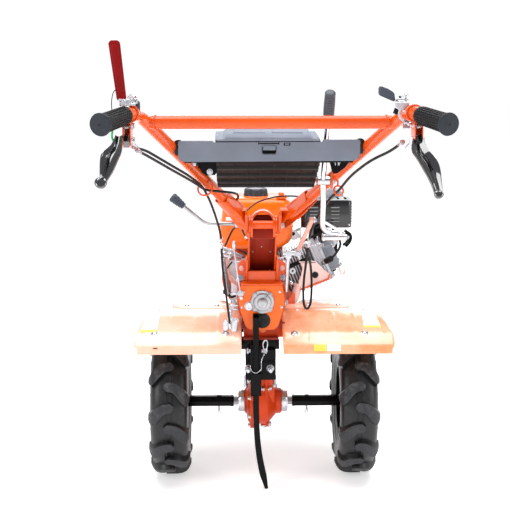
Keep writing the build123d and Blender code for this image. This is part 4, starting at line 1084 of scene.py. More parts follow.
for s, name in ((-1, "left"), (1, "right")):
    a = Piece("handlebar_arm_" + name, "handlebar")
    a.use(ORANGE)
    foot, corner = side(s, A_FOOT), side(s, A_CORNER)
    d = (corner - foot).normalized()
    # pressed U plate that wraps the tube and ends at the clamp disc
    xin, xout = s * (45.5 if s < 0 else 33.5) , s * (53.5 if s < 0 else 41.5)
    centre = Vector((s * (49.5 if s < 0 else 37.5), PY, PZ))
    start = centre + Vector((s * 3, 0, 0))
    path = [start - d * 6, start + d * 8, foot + d * 24, foot + d * 55, foot + d * 100, foot + d * 128]
    path = soften(path, 4)
    sec = [(17.4, -15.2), (19.6, -15.2), (19.6, 13.5), (18, 18.2), (12, 20), (-12, 20), (-18, 18.2), (-19.6, 13.5), (-19.6, -15.2), (-17.4, -15.2), (-17.2, 12.2), (-15.6, 16), (-11, 17.4), (11, 17.4), (15.6, 16), (17.2, 12.2)]

    def shrink(t):
        k = 0.66 + 0.2 * min(1.0, t / 0.3) if t < 0.3 else 0.86 - 0.02 * (t - 0.3) / 0.7
        return (k, 0.6 + 0.27 * min(1.0, t / 0.28) if t < 0.75 else 0.87 - 0.08 * (t - 0.75) / 0.25)
    a.add(bevelled(*sweep(path, sec, up=(s * 1.0, 0.25, 0.1), scale=shrink), 0.0))
    # gussets above and below the joint
    u = d.cross(Vector((0, 0, 1))).normalized()
    w = u.cross(d).normalized()
    for sg, l0, l1, hh in ((1, 14, 84, 5), (-1, 0, 70, 5)):
        base = foot + w * (sg * 12)
        pts = [base + d * l0, base + d * l1, base + d * (l1 - 8) + w * (sg * 4), base + d * (l0 + 30) + w * (sg * hh), base + d * (l0 + 6) + w * (sg * (hh + 1))]
        for off in (-15.5, 15.5):
            v, f = loft([[p + u * (off - 2) for p in pts], [p + u * (off + 2) for p in pts]])
            a.add(bevelled(v, f, 0.8))
    # clamp disc with teeth
    if s < 0:
        a.add(rod((-48.4, PY, PZ), (-54, PY, PZ), 23.4, 40, 1.2))
        a.add(toothed(-48.4, -46.0, 21.6, 23.8))
    else:
        a.add(rod((36.4, PY, PZ), (42, PY, PZ), 23.4, 40, 1.2))
        a.add(toothed(34.0, 36.4, 21.6, 23.8))
    # weld bead where the cross tube meets the arm
    t = (-672 - A_FOOT[1]) / (A_CORNER[1] - A_FOOT[1])
    cx = A_FOOT[0] + (A_CORNER[0] - A_FOOT[0]) * t
    for k in range(26):
        b = 2 * math.pi * k / 26
        px = s * (cx - 17.0 + 2.2 * math.cos(2 * b))
        a.add(lathe([(-1.6, 0), (-1.4, 2.4), (1.2, 2.2), (1.8, 0)], 8), at((px, -672 + 15.6 * math.cos(b), 1042 + 15.6 * math.sin(b)), (0, math.cos(b), math.sin(b))))
    ex = (-53.5, -45.5) if s < 0 else (33.5, 41.5)
    a.add(prism([(-192, 741), (-202, 727), (-222, 725), (-238, 736), (-258, 776), (-254, 786), (-214, 776), (-196, 763)], ex[0], ex[1], "x", 1.6, 2))
    ex = (-70, -50) if s < 0 else (38, 70)
    a.add(prism([(-207, 764), (-207, 780), (-232, 794), (-244, 786)], ex[0], ex[1], "x", 1.6, 2))
    # the bent tube itself, closed at the grip end
    tube_path = [side(s, p) for p in (A_FOOT, A_CORNER, A_BACK, G_END)]
    tube_path[-1] = tube_path[-1] + (tube_path[-2] - tube_path[-1]).normalized() * 8
    a.add(tube(bent(tube_path, [55, 60], 12), 15.0, 40))
    a.make(("arm_" + name,), "orange", sharp=40)

xt = Piece("cross_tube_bar", "handlebar")
xt.use(ORANGE)
xt.add(rod((-268, -672, 1042), (268, -672, 1042), 14.8, 48, 0.6))
xt.make(("cross_tube",), "orange", sharp=40)

gp = Piece("handlebar_grips", "handlebar")
for s in (-1, 1):
    e, b = side(s, G_END), side(s, A_BACK)
    d = (b - e).normalized()
    m = at(e, d, (0, 0, 1))
    gp.use(GRIP)
    # sleeve with rows of short ribs
    gp.add(lathe([(6, 15.4), (6, 20.4), (8, 20.8), (30, 18.9), (112, 17.8), (113, 18.8), (117.4, 18.8), (118, 18.2), (118, 15.4)], 48, ring=True), m)
    n = 22
    for k in range(n):
        a0 = 2 * math.pi * k / n
        t = 13.0 if k % 2 else 8.8
        while t < 110:
            t1 = min(t + 6.6, 110.5)
            r = 20.2 - 1.3 * min(1, t / 30) - 1.1 * t / 128
            ca, sa = math.cos(a0), math.sin(a0)
            ta = Vector((-sa, ca, 0))
            ra = Vector((ca, sa, 0))
            ring_a = [ra * (r - 0.8) - ta * 1.55, ra * (r + 1.9) - ta * 0.95, ra * (r + 1.9) + ta * 0.95, ra * (r - 0.8) + ta * 1.55]
            za, zb = Vector((0, 0, t)), Vector((0, 0, t1))
            gp.add(loft([[p + za for p in ring_a], [p * 1.0 + zb for p in ring_a]]), m)
            t += 8.6
    gp.use(GRIP_END)
    gp.add(lathe([(1.6, 0), (1.6, 2.1), (0.2, 2.6), (1.0, 12), (2.6, 19.6), (2.2, 21.6), (3.2, 23.2), (5.2, 24), (7.4, 23.6), (8.8, 21.4), (8.8, 15.2)], 56), m)
    gp.use(DARK)
    gp.add(lathe([(0.25, 0), (0.25, 2.45), (2.2, 2.4), (2.2, 0)], 16), m)
gp.make(("grips",), "rubber", sharp=45)

# ------------------------------------------------------------------ hand lever brackets
BLADES = {-1: [(-330, -314, -812, 1022), (-333, -312, -835, 1006), (-354, -313, -850, 992), (-358, -318, -861, 981), (-357, -330, -880, 951), (-356, -340, -884, 938)],
          1: [(292, 316, -812, 1014), (283, 320, -835, 996), (297, 339, -855, 976), (307, 344, -870, 956), (318, 344, -880, 936), (327, 347, -884, 914)]}
FOOT = {-1: ((-354, -886, 934), 13.0), 1: ((338, -887, 909), 10.0)}
hl = Piece("hand_lever_blades", "handlebar")
for s in (-1, 1):
    hl.use(LEVER_BLACK)
    rows = BLADES[s]
    c, r = FOOT[s]
    # smooth the outline and give the blade a dished face with rolled edges
    left = soften([(a, y, z) for a, b, y, z in rows] + [(c[0] - r * 0.96, c[1], c[2])], 4)
    right = soften([(b, y, z) for a, b, y, z in rows] + [(c[0] + r * 0.96, c[1], c[2])], 4)
    rings = []
    for i, (p, q) in enumerate(zip(left, right)):
        i0, i1 = max(i - 1, 0), min(i + 1, len(left) - 1)
        t = ((left[i1] + right[i1]) - (left[i0] + right[i0])).normalized()
        n_ = Vector((0, t.z, -t.y)).normalized()
        if n_.y > 0:
            n_ = -n_
        w_ = (q - p).length
        lip = min(4.5, w_ * 0.16)
        dish = min(4.0, w_ * 0.13)
        face = []
        prof = [(0.0, -1.0), (0.012, 2.6), (0.06, 4.2), (0.13, 3.4), (0.26, 4.0 - dish * 1.3), (0.5, 4.0 - dish * 1.8), (0.72, 4.0 - dish * 1.1), (0.87, 3.4), (0.94, 4.2), (0.988, 2.6), (1.0, -1.0),
                (0.95, -3.6), (0.7, -4.4), (0.3, -4.4), (0.05, -3.6)]
        for k, h_ in prof:
            face.append(p.lerp(q, k) + n_ * h_)
        rings.append(face)
    hl.add(loft(rings))
    n_ = Vector((0, -0.83, 0.55)).normalized()
    hl.add(lathe([(-4.6, 0), (-4.6, r - 1.4), (-3.2, r), (1.0, r), (2.8, r - 1.2), (3.9, r - 3.6), (4.4, r - 7), (4.5, 0)], 32), at(Vector(c), n_, (1, 0, 0)))
    # a raised stiffening rib down the dish
    mid = [p.lerp(q, 0.42 if s < 0 else 0.56) for p, q in zip(left, right)][2:-2]
    hl.add(sweep(mid, [(-1.2, -2.0), (-0.8, 1.4), (0.8, 1.4), (1.2, -2.0)], up=(1, 0, 0)))
hl.make(("hand_levers",), "black_paint", sharp=50)

bk = Piece("lever_bracket_plates", "handlebar")
for s in (-1, 1):
    bk.use(ORANGE)
    out = [(-800, 1051), (-811, 1036), (-812, 1018), (-806, 1004), (-792, 996), (-770, 997), (-760, 1008), (-753, 1030), (-758, 1052), (-775, 1053)]
    for dx in (-9, 6.4):
        x0 = s * 306 + (dx if s > 0 else -dx - 2.6)
        bk.add(prism(out, x0, x0 + 2.6, "x", 0.7))
    bk.add(prism([(-800, 1050), (-800, 1046), (-756, 1046), (-756, 1052), (-775, 1053)], s * 306 - 8, s * 306 + 8, "x", 0.8))
    bk.add(prism([(-757, 1046), (-753, 1028), (-760, 1008), (-764, 1009), (-757.5, 1028), (-761, 1046)], s * 306 - 8, s * 306 + 8, "x", 0.5))
    # clamp band round the tube
    b0, b1 = side(s, (299, -766, 1066.5)), side(s, (300, -784, 1068))
    m = at(b0, b1 - b0, (0, 0, 1))
    bk.add(lathe([(0, 15.4), (0, 18.6), (0.8, 19.2), (17.4, 19.2), (18.2, 18.6), (18.2, 15.4)], 40, ring=True), m)
    bk.use(ZINC)
    bk.add(rod((s * 306 - 13, -790, 1012), (s * 306 + 13, -790, 1012), 3.6, 16, 0.5))
    bk.bolt((s * 306 - 9.4, -790, 1012), (-1, 0, 0), 11, 5.5)
    bk.bolt((s * 306 + 9.4, -790, 1012), (1, 0, 0), 11, 5.5)
    bk.add(rod((s * 306 - 12, -778, 1042), (s * 306 + 12, -778, 1042), 3.0, 14, 0.5))
    bk.bolt((s * 306 - 9.4, -778, 1042), (-1, 0, 0), 10, 4.5)
    bk.bolt((s * 306 + 9.4, -778, 1042), (1, 0, 0), 10, 4.5)
    # cable stop with its adjusting barrel, cam and return spring
    bk.add(rod((s * 296, -772, 1004), (s * 288, -758, 992), 4.4, 16, 0.8))
    bk.add(rod((s * 301, -781, 1012), (s * 295, -771, 1003), 5.6, 6, 0.6))
    bk.add(helix((s * 306 - 5, -801, 1040), (s * 306 + 5, -801, 1040), 4.2, 0.8, 6))
    bk.add(tube([(s * 306 - 5, -797, 1040), (s * 306 - 6, -796, 1024)], 0.8, 6))
    bk.use(LEVER_BLACK)
    bk.add(prism([(-812, 1024), (-820, 1012), (-806, 998), (-786, 1000), (-782, 1014), (-792, 1026)], s * 306 - 5.6, s * 306 + 5.6, "x", 1.4, 2))
bk.make(("lever_brackets",), "orange", sharp=35)

# ------------------------------------------------------------------ clutch lever, throttle
cl = Piece("clutch_lever_blade", "handlebar")
cl.use(RED)
blade_out = [(-341.8, 1213), (-340, 1217.4), (-335.5, 1219.8), (-323.5, 1219.8), (-319, 1217.6), (-317.2, 1213), (-306.4, 1101), (-308, 1096), (-325, 1096), (-327, 1101)]
cl.add(prism(blade_out, -797.2, -790.2, "y", 1.6, 2))
cl.add(prism([(-337.6, 1207), (-334, 1211), (-325.4, 1211), (-321.8, 1207), (-311.4, 1112), (-323, 1112)], -798.6, -796.6, "y", 0.9, 2))
# rolled flange along the blade's far side
cl.add(loft([[(-341.4 + 14.6 * k, -790.8, 1212 - 112 * k), (-339.8 + 14.6 * k, -790.8, 1212 - 112 * k), (-339.8 + 14.6 * k, -785.2, 1211 - 112 * k), (-341.4 + 14.6 * k, -785.2, 1211 - 112 * k)] for k in (0.0, 0.25, 0.5, 0.75, 1.0)]))
cl.use(RED_WIRE)
cl.add(tube(soften([(-318, -795, 1098), (-320, -796, 1086), (-318, -797, 1076), (-316, -795, 1070)], 4), 1.7, 8))
cl.use(ZINC)
cl.add(box(-321, -300, -796, -778, 1072, 1096, 2.0, 2))
cl.add(box(-323, -298, -798, -794, 1094, 1099, 0.8))
cl.add(box(-322, -301, -800, -796, 1080, 1084, 0.8))
cl.add(box(-302, -288, -792, -758, 1084, 1090, 1.0))
cl.add(prism([(-303, 1083), (-303, 1104), (-299, 1110), (-296, 1108), (-296, 1084)], -791, -788.6, "y", 0.6))
cl.add(rod((-312, -799, 1089), (-312, -775, 1089), 4.0, 16, 0.6))
cl.bolt((-312, -797.5, 1089), (0, -1, 0), 9, 4)
cl.bolt((-292, -775, 1090), (0, 0, 1), 10, 5)
cl.add(rod((-296, -771, 1102), (-286, -764, 1103), 3.4, 14, 0.6))
cl.add(tube(soften([(-297, -790, 1104), (-302, -794, 1108), (-304, -795, 1101), (-301, -793, 1096)], 5), 1.3, 8))
cl.add(helix((-290, -785, 1094), (-290, -770, 1094), 4.6, 0.9, 6))
cl.use(RED_WIRE)
cl.add(rod((-294, -772, 1096), (-289, -768, 1104), 2.2, 10, 0.5))
cl.use(CABLE)
# thin wire that loops out beside the lever's foot
cl.add(tube(soften([(-322, -794, 1118), (-330, -798, 1120), (-336, -802, 1104), (-337, -804, 1082), (-334, -806, 1064), (-330, -808, 1056)], 6), 1.0, 8))
cl.use(GREEN)
cl.add(tube(soften([(-335, -812, 1034), (-337, -816, 1024), (-334, -818, 1014), (-328, -820, 1006)], 6), 2.3, 10))
cl.make(("clutch_lever",), "red_paint", sharp=35)

kb = Piece("kill_switch_block", "handlebar")
kb.use(KNOB_PL)
kb.add(prism([(-301, 1070), (-304, 1086), (-297, 1093), (-288, 1095), (-281, 1091), (-280, 1062), (-286, 1057), (-294, 1059)], -770, -750, "y", 2.0, 2))
kb.use(BLACK_PL)
kb.add(box(-300, -286, -772.4, -768.5, 1070, 1085, 1.0))
kb.make(slot="black_plastic")

th = Piece("throttle_control", "handlebar")
th.use(ZINC)
th.add(lathe([(0, 0), (0, 12), (2, 12.4), (5, 12.4), (5, 8), (9, 8), (9, 12.4), (13, 12.4), (14, 11.4), (14, 0)], 32), at((276, -745, 1080), (0, 0, 1)))
th.add(box(262, 292, -752, -738, 1094, 1097.5, 0.8))
th.add(prism([(262, 1082), (262, 1090), (292, 1090), (292, 1076), (280, 1072), (268, 1074)], -758, -755, "y", 0.6))
th.bolt((276, -745, 1096.5), (0, 0, 1), 10, 5.5)
th.add(rod((286, -748, 1086), (286, -748, 1106), 2.6, 12, 0.4))
th.dome((286, -748, 1105), (0, 0, 1), 5.0, 3.0)
th.add(rod((265, -757, 1081), (265, -763, 1081), 2.6, 12, 0.4))
th.add(lathe([(0, 12), (0, 19), (1, 19.6), (7, 19.6), (8, 19), (8, 12)], 32, ring=True), at((291, -728, 1063.5), (0.12, 0.985, 0.08)))
th.bolt((292, -731, 1045), (0.2, 0, -1), 12, 6)
th.add(prism([(-736, 1047), (-720, 1047), (-716, 1036), (-722, 1030), (-738, 1032)], 284, 300, "x", 1.0))
th.use(BLACK_PL)
th.add(bevelled(*loft([[(262, -752, 1093), (262, -742, 1093), (262, -742, 1101), (262, -752, 1101)], [(252, -757, 1096), (252, -744, 1096), (252, -744, 1106), (252, -757, 1106)]]), 0.8))
th.add(prism([(262, 1078), (270, 1074), (268, 1062), (258, 1066)], -752, -746, "y", 1.0))
th.use(KNOB_PL)
knob = []
for x, y0, y1, z0, z1 in ((260, -762, -744, 1091, 1107), (256, -766, -742, 1092, 1112), (244, -768, -744, 1097, 1119), (230, -768, -746, 1103, 1124), (226, -765, -748, 1107, 1121)):
    knob.append([(x, y0, z0), (x, y1, z0), (x, y1, z1), (x, y0, z1)])
th.add(bevelled(*loft(knob), 2.4, 2))
th.make(("throttle_lever",), "black_plastic", sharp=35)

# ------------------------------------------------------------------ clamp lever
cp = Piece("clamp_lever_rod", "handlebar")
cp.use(STEEL)
cp.add(tube(bent([(-60, PY, 746.4), (-70, PY, 747), (-157, PY, 749), (-214.6, PY, 796.5)], [30, 60], 9), 5.2, 18))
cp.add(rod((-78, PY, PZ), (50, PY, PZ), 5.8, 20, 0.8))
cp.use(ZINC)
cp.add(lathe([(0, 0), (0, 10.2), (1, 11), (8, 11), (9, 10), (12.2, 8.6), (12.2, 0)], 32), at((-54, PY, PZ), (-1, 0, 0)))
cp.add(lathe([(0, 0), (0, 6.6), (1, 7.4), (11, 7.4), (12, 6.6), (12, 0)], 24), at((-66, PY, PZ), (-1, 0, 0)))
cp.bolt((42, PY, PZ), (1, 0, 0), 17, 6.4)
cp.use(KNOB_PL)
k0, k1 = Vector((-211, PY, 793.4)), Vector((-243, PY, 820))
cp.add(lathe([(0, 0), (0, 7.2), (1.2, 8.6), (4.2, 8.8), (4.8, 8.0), (6.0, 8.0), (6.8, 9.8), (12.2, 10.2), (13.0, 9.2), (14.2, 9.2), (15, 10.8), (20.6, 11.2), (21.4, 10.2), (22.6, 10.2), (23.4, 11.8), (29.2, 12.0),
              (30, 11.0), (31.2, 11.0), (32, 12.2), (38.4, 12.2), (40.4, 11), (41.4, 8.4), (41.6, 0)], 36), at(k0, k1 - k0))
cp.make(("clamp_lever",), "chrome_rod", sharp=40)

# ------------------------------------------------------------------ gear lever
gl = Piece("gear_lever_rods", "handlebar")
gl.use(CHROME)
gl.add(tube(bent([(134, -596, 1070), (134, -430, 885), (138, -385, 822), (140, -335, 745), (197, -330, 738)], [60, 40, 60, 22], 8), 6.5, 18))
gl.add(tube([(139, -352, 775), (165.5, -343, 758.5), (192, -334, 742)], 4, 14))
gl.add(rod((142, -330, 730), (200, -330, 730), 8, 28, 1.2))
gl.use(ZINC)
gl.add(rod((140, -330, 730), (143, -330, 730), 9.4, 28, 0.6))
gl.add(rod((199, -330, 730), (202, -330, 730), 9.4, 28, 0.6))
gl.bolt((202, -330, 730), (1, 0, 0), 10, 5)
for p in ((139.4, -351, 773), (191, -334, 742.6)):
    gl.add(lathe([(-3, 0), (-2.4, 5.6), (0, 6.6), (2.4, 5.6), (3, 0)], 16), at(p, (0.8, 0.3, -0.5)))
gl.use(BLACK)
# hooked return hose at the rod's end
gl.add(tube(soften([(196, -330, 744), (208, -328, 742), (214, -328, 730), (210, -328, 716), (200, -328, 706)], 6), 4.2, 14))
gl.make(("gear_lever",), "chrome_rod", sharp=40)

gg = Piece("gear_lever_handle", "handlebar")
gg.use(LEVER_GRIP_SHEEN)
b0, b1 = Vector((134, -562, 1033)), Vector((134.4, -618, 1106))
ln = (b1 - b0).length
prof = [(0, 0), (0, 9.4), (1.4, 10.8)]
n = 11
for k in range(n):
    t0 = 3 + k * (ln - 12) / n
    w_ = (ln - 12) / n
    r = 11.2 + 1.7 * math.sin(math.pi * (k + 1) / (n + 3))
    prof += [(t0, r - 1.5), (t0 + w_ * 0.16, r), (t0 + w_ * 0.72, r), (t0 + w_ * 0.88, r - 1.5)]
prof += [(ln - 7, 12.4), (ln - 3, 12.0), (ln - 0.6, 9.0), (ln, 5.0), (ln, 0)]
gg.add(lathe(prof, 36), at(b0, b1 - b0))
gg.make(("gear_lever_grip",), "rubber", sharp=45)

gv = Piece("gear_lever_pivot_parts", "handlebar")
gv.use(ZINC)
gv.add(lathe([(0, 6), (0, 9.8), (1.2, 11), (29.4, 11), (30.6, 9.8), (30.6, 6)], 36, ring=True), at((121, -430, 885), (1, 0, 0)))
gv.use(ORANGE)
gv.add(rod((117.2, -430, 885), (121.4, -430, 885), 6.2, 20, 0.8))
gv.add(lathe([(0, 0), (0, 18.6), (0.8, 20), (4.4, 20), (5.2, 19), (5.2, 0)], 44), at((152, -430, 885), (1, 0, 0)))
gv.add(prism([(-444, 884), (-448, 906), (-441, 917), (-425, 921), (-414, 915), (-414, 884), (-420, 872), (-438, 872)], 153, 157.6, "x", 1.0))
gv.use(ZINC)
gv.add(rod((118.6, -431, 890), (118.6, -436, 914), 1.1, 10, 0.2))
gv.bolt((157.4, -430, 885), (1, 0, 0), 13, 5)
gv.make(("gear_lever_pivot",), "zinc", sharp=40)

gk = Piece("gear_link_bar", "chassis")
gk.use(PINK_SHEEN)
a, b = Vector((86, -162, 661)), Vector((117, -296, 770))
sec = [(-5.6, -2.6), (-5.0, 2.4), (-3.6, 2.8), (-2.8, 1.2), (-1.0, 1.2), (-0.4, 2.8), (0.4, 2.8), (1.0, 1.2), (2.8, 1.2), (3.6, 2.8), (5.0, 2.4), (5.6, -2.6)]
gk.add(sweep([a, a.lerp(b, 0.33), a.lerp(b, 0.66), b], [(p[0], p[1]) for p in sec], up=(1, 0.2, 0)))
gk.add(rod((111, -297, 771), (123, -295, 769), 6.4, 20, 0.8))
gk.use(ZINC)
gk.add(box(48, 96, -175, -157, 656, 666, 1.6, 2))
gk.add(prism([(48, 655), (46, 679), (52, 682), (58, 677), (60, 667), (60, 655)], -172, -166, "y", 1.0))
gk.add(box(56, 70, -178, -160, 648, 669, 1.4, 2))
gk.add(tube(soften([(63, -168, 663), (62, -160, 640), (61, -146, 602), (60, -120, 548)], 5), 4.4, 16))
gk.add(tube([(58, -176, 655), (46, -172, 650), (37, -166, 648)], 2.0, 10))
gk.bolt((88, -176, 662), (0, -1, 0), 11, 5)
gk.bolt((123, -295, 769), (1, 0, 0), 10, 4)
gk.dome((52, -172, 673), (0, -1, 0), 3.2, 2)
gk.make(("gear_link",), "zinc", sharp=40)

# ------------------------------------------------------------------ shift and clutch fittings left of the gearbox
lf = Piece("left_linkage", "chassis")
lf.use(ZINC)
lf.add(bevelled(*loft([[(-122, -52, 652), (-116, -52, 662), (-105, -52, 658), (-52, -52, 633), (-50, -52, 628), (-82, -52, 626), (-118, -52, 630)],
                       [(-122, -48, 652), (-116, -48, 662), (-105, -48, 658), (-52, -48, 633), (-50, -48, 628), (-82, -48, 626), (-118, -48, 630)]]), 1.0))
lf.add(lathe([(0, 0), (0, 12), (2, 13), (10, 13), (14, 11), (22, 10), (24, 12), (30, 12), (34, 9), (58, 4), (60, 0)], 28), at((-118, -62, 641), (0.94, 0, -0.2)))
lf.add(rod((-81, -148, 690), (-81, -147, 668), 4.2, 16, 1.4))
lf.add(lathe([(0, 0), (0, 3.2), (2, 4.8), (14, 5.2), (18, 4.2), (20, 0)], 18), at((-81, -148, 672), (0, 0, 1)))
lf.add(tube(soften([(-81, -147, 670), (-78, -148, 640), (-72, -149, 596), (-65, -148, 552)], 5), 1.9, 10))
lf.add(lathe([(0, 0), (0, 7.8), (1, 8.8), (6, 8.8), (7, 7.8), (7, 3.6), (5.4, 3.4), (5.4, 0)], 24), at((-64, -134, 546), (0, -1, 0)))
lf.bolt((-64, -139, 546), (0, -1, 0), 9, 4)
lf.add(lathe([(0, 0), (0, 6.2), (1, 7), (8, 7), (9, 6), (9, 0)], 20), at((-70, -66, 616), (0, -1, 0)))
# selector arm with its fork and the two bracket plates beside the gearbox
lf.add(box(-92, -66, -112, -104, 536, 542, 1.0))
lf.add(box(-98, -70, -122, -114, 506, 512, 1.0))
lf.add(box(-98, -70, -122, -114, 496, 501, 1.0))
lf.add(rod((-84, -118, 512), (-84, -118, 494), 3.4, 14, 0.6))
lf.add(rod((-92, -132, 500), (-92, -132, 462), 5.4, 16, 1.2))
lf.add(rod((-92, -132, 470), (-92, -132, 448), 3.2, 14, 0.8))
lf.add(prism([(-112, 442), (-112, 466), (-104, 472), (-98, 466), (-98, 446), (-104, 440)], -132, -129, "y", 0.8))
lf.add(prism([(-90, 440), (-90, 470), (-76, 472), (-72, 462), (-76, 436), (-84, 434)], -132, -129, "y", 0.8))
lf.bolt((-92, -137, 476), (0, -1, 0), 10, 5)
lf.bolt((-77, -132, 470), (0, -1, 0), 9, 4)
lf.use(PINK_SHEEN)
lf.add(prism([(-106, 622), (-110, 596), (-103, 566), (-82, 545), (-72, 540), (-76, 552), (-92, 572), (-97, 600), (-98, 622)], -8, -2, "y", 1.0))
lf.use(ALU)
lf.add(prism([(-99, 618), (-98, 600), (-92, 574), (-78, 556), (-70, 560), (-72, 600), (-80, 622)], -2, 6, "y", 1.4))
lf.use(STEEL)
lf.add(helix((-112, -92, 634), (-95, -92, 534), 5.4, 1.5, 26, 6, 12))
lf.use(CABLE)
lf.add(tube([(-112, -92, 636), (-103.5, -92, 584), (-95, -92, 532)], 3.4, 12))
lf.add(tube(soften([(-95, -92, 534), (-92, -94, 526), (-84, -98, 528), (-78, -100, 532)], 5), 3.4, 12))
lf.add(tube(soften([(-60, -52, 628), (-48, -54, 632), (-46, -54, 640), (-56, -54, 646), (-72, -54, 652)], 6), 1.8, 10))
lf.add(tube([(-102, -66, 600), (-86, -66, 620)], 2.0, 10))
lf.make(slot="zinc", sharp=40)

# ------------------------------------------------------------------ tool box between the arms
tb = Piece("tool_box_shell", "handlebar")
tb.use(BOX_PL_BOUNCE)


def floor_z(y):
    return 944 - 76 * (y + 578) / 190


tb.add(prism([(-578, 944), (-388, 868), (-388, 871.4), (-578, 947.4)], -121, 115, "x", 0.8))
for x0, x1 in ((-122, -119), (113, 116)):
    tb.add(prism([(-577, 945), (-389, 870), (-389, 991), (-577, 991)], x0, x1, "x", 0.8))
tb.add(box(-121, 115, -391, -388, 869, 991, 0.8))
tb.add(plate(round2(-121, 115, 945, 991, 1), [round2(-21, 20, 959, 982, 3)], -577.6, -575, "y"))
tb.add(box(-122, 116, -579, -573, 988, 992, 0.6))
tb.add(box(-122, 116, -393, -386.5, 988, 992, 0.6))
for x0, x1 in ((-124, -118), (112, 117)):
    tb.add(box(x0, x1, -577, -389, 988, 992, 0.6))
# lengthwise ribs of the floor
for k in range(8):
    x = -114 + 31.7 * k
    tb.add(prism([(-576, floor_z(-576) - 2.4), (-390, floor_z(-390) - 2.4), (-390, floor_z(-390) + 1), (-576, floor_z(-576) + 1)], x - 0.9, x + 0.9, "x", 0.3))
for y in (-547, -500, -458, -420):
    for x0, x1 in ((-123.2, -121), (115, 117.2)):
        tb.add(box(x0, x1, y - 1.4, y + 1.4, floor_z(y) + 1, 986, 0.5))
# cross ribs under the floor in near-black plastic: the darker colour is painted shade under the ribs
tb.use(BLACK_PL)
for y in (-543, -484, -432, -398):
    z = floor_z(y)
    tb.add(prism([(y - 4.2, z - 1.2), (y - 3.4, z - 5.0), (y + 3.4, z - 7.6), (y + 4.2, z - 4.2), (y + 4.2, z + 0.5), (y - 4.2, z + 2)], -121, 115, "x", 0.6))
# hinge knuckles and pins at the front
tb.use(GREY_PL)
for xa in (-90, 64):
    for xb in (xa - 12, xa + 21):
        tb.add(prism([(-388, 980), (-380.5, 980), (-378.6, 992), (-379.6, 998.4), (-384, 1000), (-388, 998)], xb, xb + 11, "x", 0.8))
tb.use(ZINC)
for xa in (-90, 64):
    tb.add(rod((xa - 13, -384, 996), (xa + 33, -384, 996), 1.5, 12, 0.3))
# straps to the arms, with their hooks and bolts
tb.use(BLACK)
for s, xw in ((-1, -122), (1, 116)):
    xs = s * 196
    tb.add(box(min(xw, xs), max(xw, xs), -531, -509, 938.4, 942.6, 0.8))
    tb.add(prism([(xw, 938.6), (xw + s * 42, 938.6), (xw + s * 44, 930), (xw + s * 34, 915), (xw + s * 26, 908), (xw + s * 4, 909), (xw, 914)], -523, -519, "y", 0.8) if s < 0 else
           prism([(xw + 26, 938.6), (xw + 72, 938.6), (xw + 62, 926), (xw + 44, 912), (xw + 34, 912), (xw + 30, 924)], -523, -519, "y", 0.8))
    tb.add(box(min(xw + s * 40, xw + s * 44), max(xw + s * 40, xw + s * 44), -534, -507, 926, 939, 0.8))
tb.use(ZINC)
tb.bolt((-138, -523, 917), (0, -1, 0), 9, 5)
tb.bolt((-172, -520, 938.4), (0, 0, -1), 12, 6)
tb.bolt((160, -520, 938.4), (0, 0, -1), 12, 6)
tb.make(("tool_box",), "grey_plastic", sharp=35)

tp = Piece("tool_box_rear_panel", "handlebar")
tp.use(GREY_PL)
out = [(-209, 958), (-206, 951), (-200, 947), (-192, 945.6), (190, 947.6), (198, 950), (204, 956), (206.6, 963), (207, 993), (204, 996.6), (121, 995), (120, 991), (-128, 990.4), (-129, 992.8), (-206, 993.6), (-208.6, 991)]
holes = [round2(-19, 17, 961.5, 984, 6), round2(-24, 20, 986.2, 988.9, 0.6), round2(31.5, 47.5, 982.5, 989.4, 2.0)]
tp.add(plate(out, holes, -582, -579, "y"))
# turned-over top edge and end returns
tp.add(prism([(-582, 992), (-581, 993.2), (-568, 993.2), (-568, 990.6), (-579, 990.6)], -205, -130, "x", 0.5))
tp.add(prism([(-582, 994), (-581, 995.4), (-568, 995.4), (-568, 992.6), (-579, 992.6)], 122, 203, "x", 0.5))
for x0, x1 in ((-208.6, -205.4), (203, 206.2)):
    tp.add(prism([(-580, 952), (-580, 991), (-560, 988), (-541, 968), (-541, 955)], x0, x1, "x", 0.8))
# finger recess with its flap, small push button
tp.add(plate(round2(-20, 18, 960.5, 985, 6), [round2(-17, 15, 963.5, 982, 5)], -580, -568, "y"))
tp.add(prism([(-582.4, 983.4), (-584.2, 981.8), (-583.6, 974), (-581.2, 971.6), (-579.4, 973), (-579, 983.4)], -15.4, 13.4, "x", 0.8))
tp.add(box(34, 45, -580.6, -577, 984, 988.2, 0.8))
# dark sheets at the back of the finger recess and behind the slots: painted shade
tp.use(DARK)
tp.add(prism(round2(-17.5, 15.5, 963, 982.5, 5), -569.6, -568.4, "y", 0))
tp.add(box(-25, 21, -578.9, -578.2, 985.4, 989.6, 0.1))
tp.add(box(30.5, 48.5, -578.9, -577.6, 982, 990, 0.1))
for x in (-25.2, 21):
    tp.add(box(x - 1.1, x + 1.1, -582.6, -581.4, 985.0, 990.2, 0.3))
# rubber hooks that go over the arms
tp.use(GRIP)
for s, xe, zt in ((-1, -207, 991), (1, 205.4, 994)):
    path = soften([(xe - s * 4, -577, zt - 1), (xe + s * 4, -577, zt + 1), (xe + s * 8, -575, zt - 4), (xe + s * 7.4, -574, zt - 16), (xe + s * 3, -574, zt - 30)], 5)
    tp.add(sweep(path, [(-1.8, -5), (-1.8, 5), (1.8, 5), (1.8, -5)], up=(0, 1, 0)))
tp.make(("tool_box_panel",), "grey_plastic", sharp=35)

ld = Piece("tool_box_lid_shell", "box_lid")
ld.use(LID_PL)


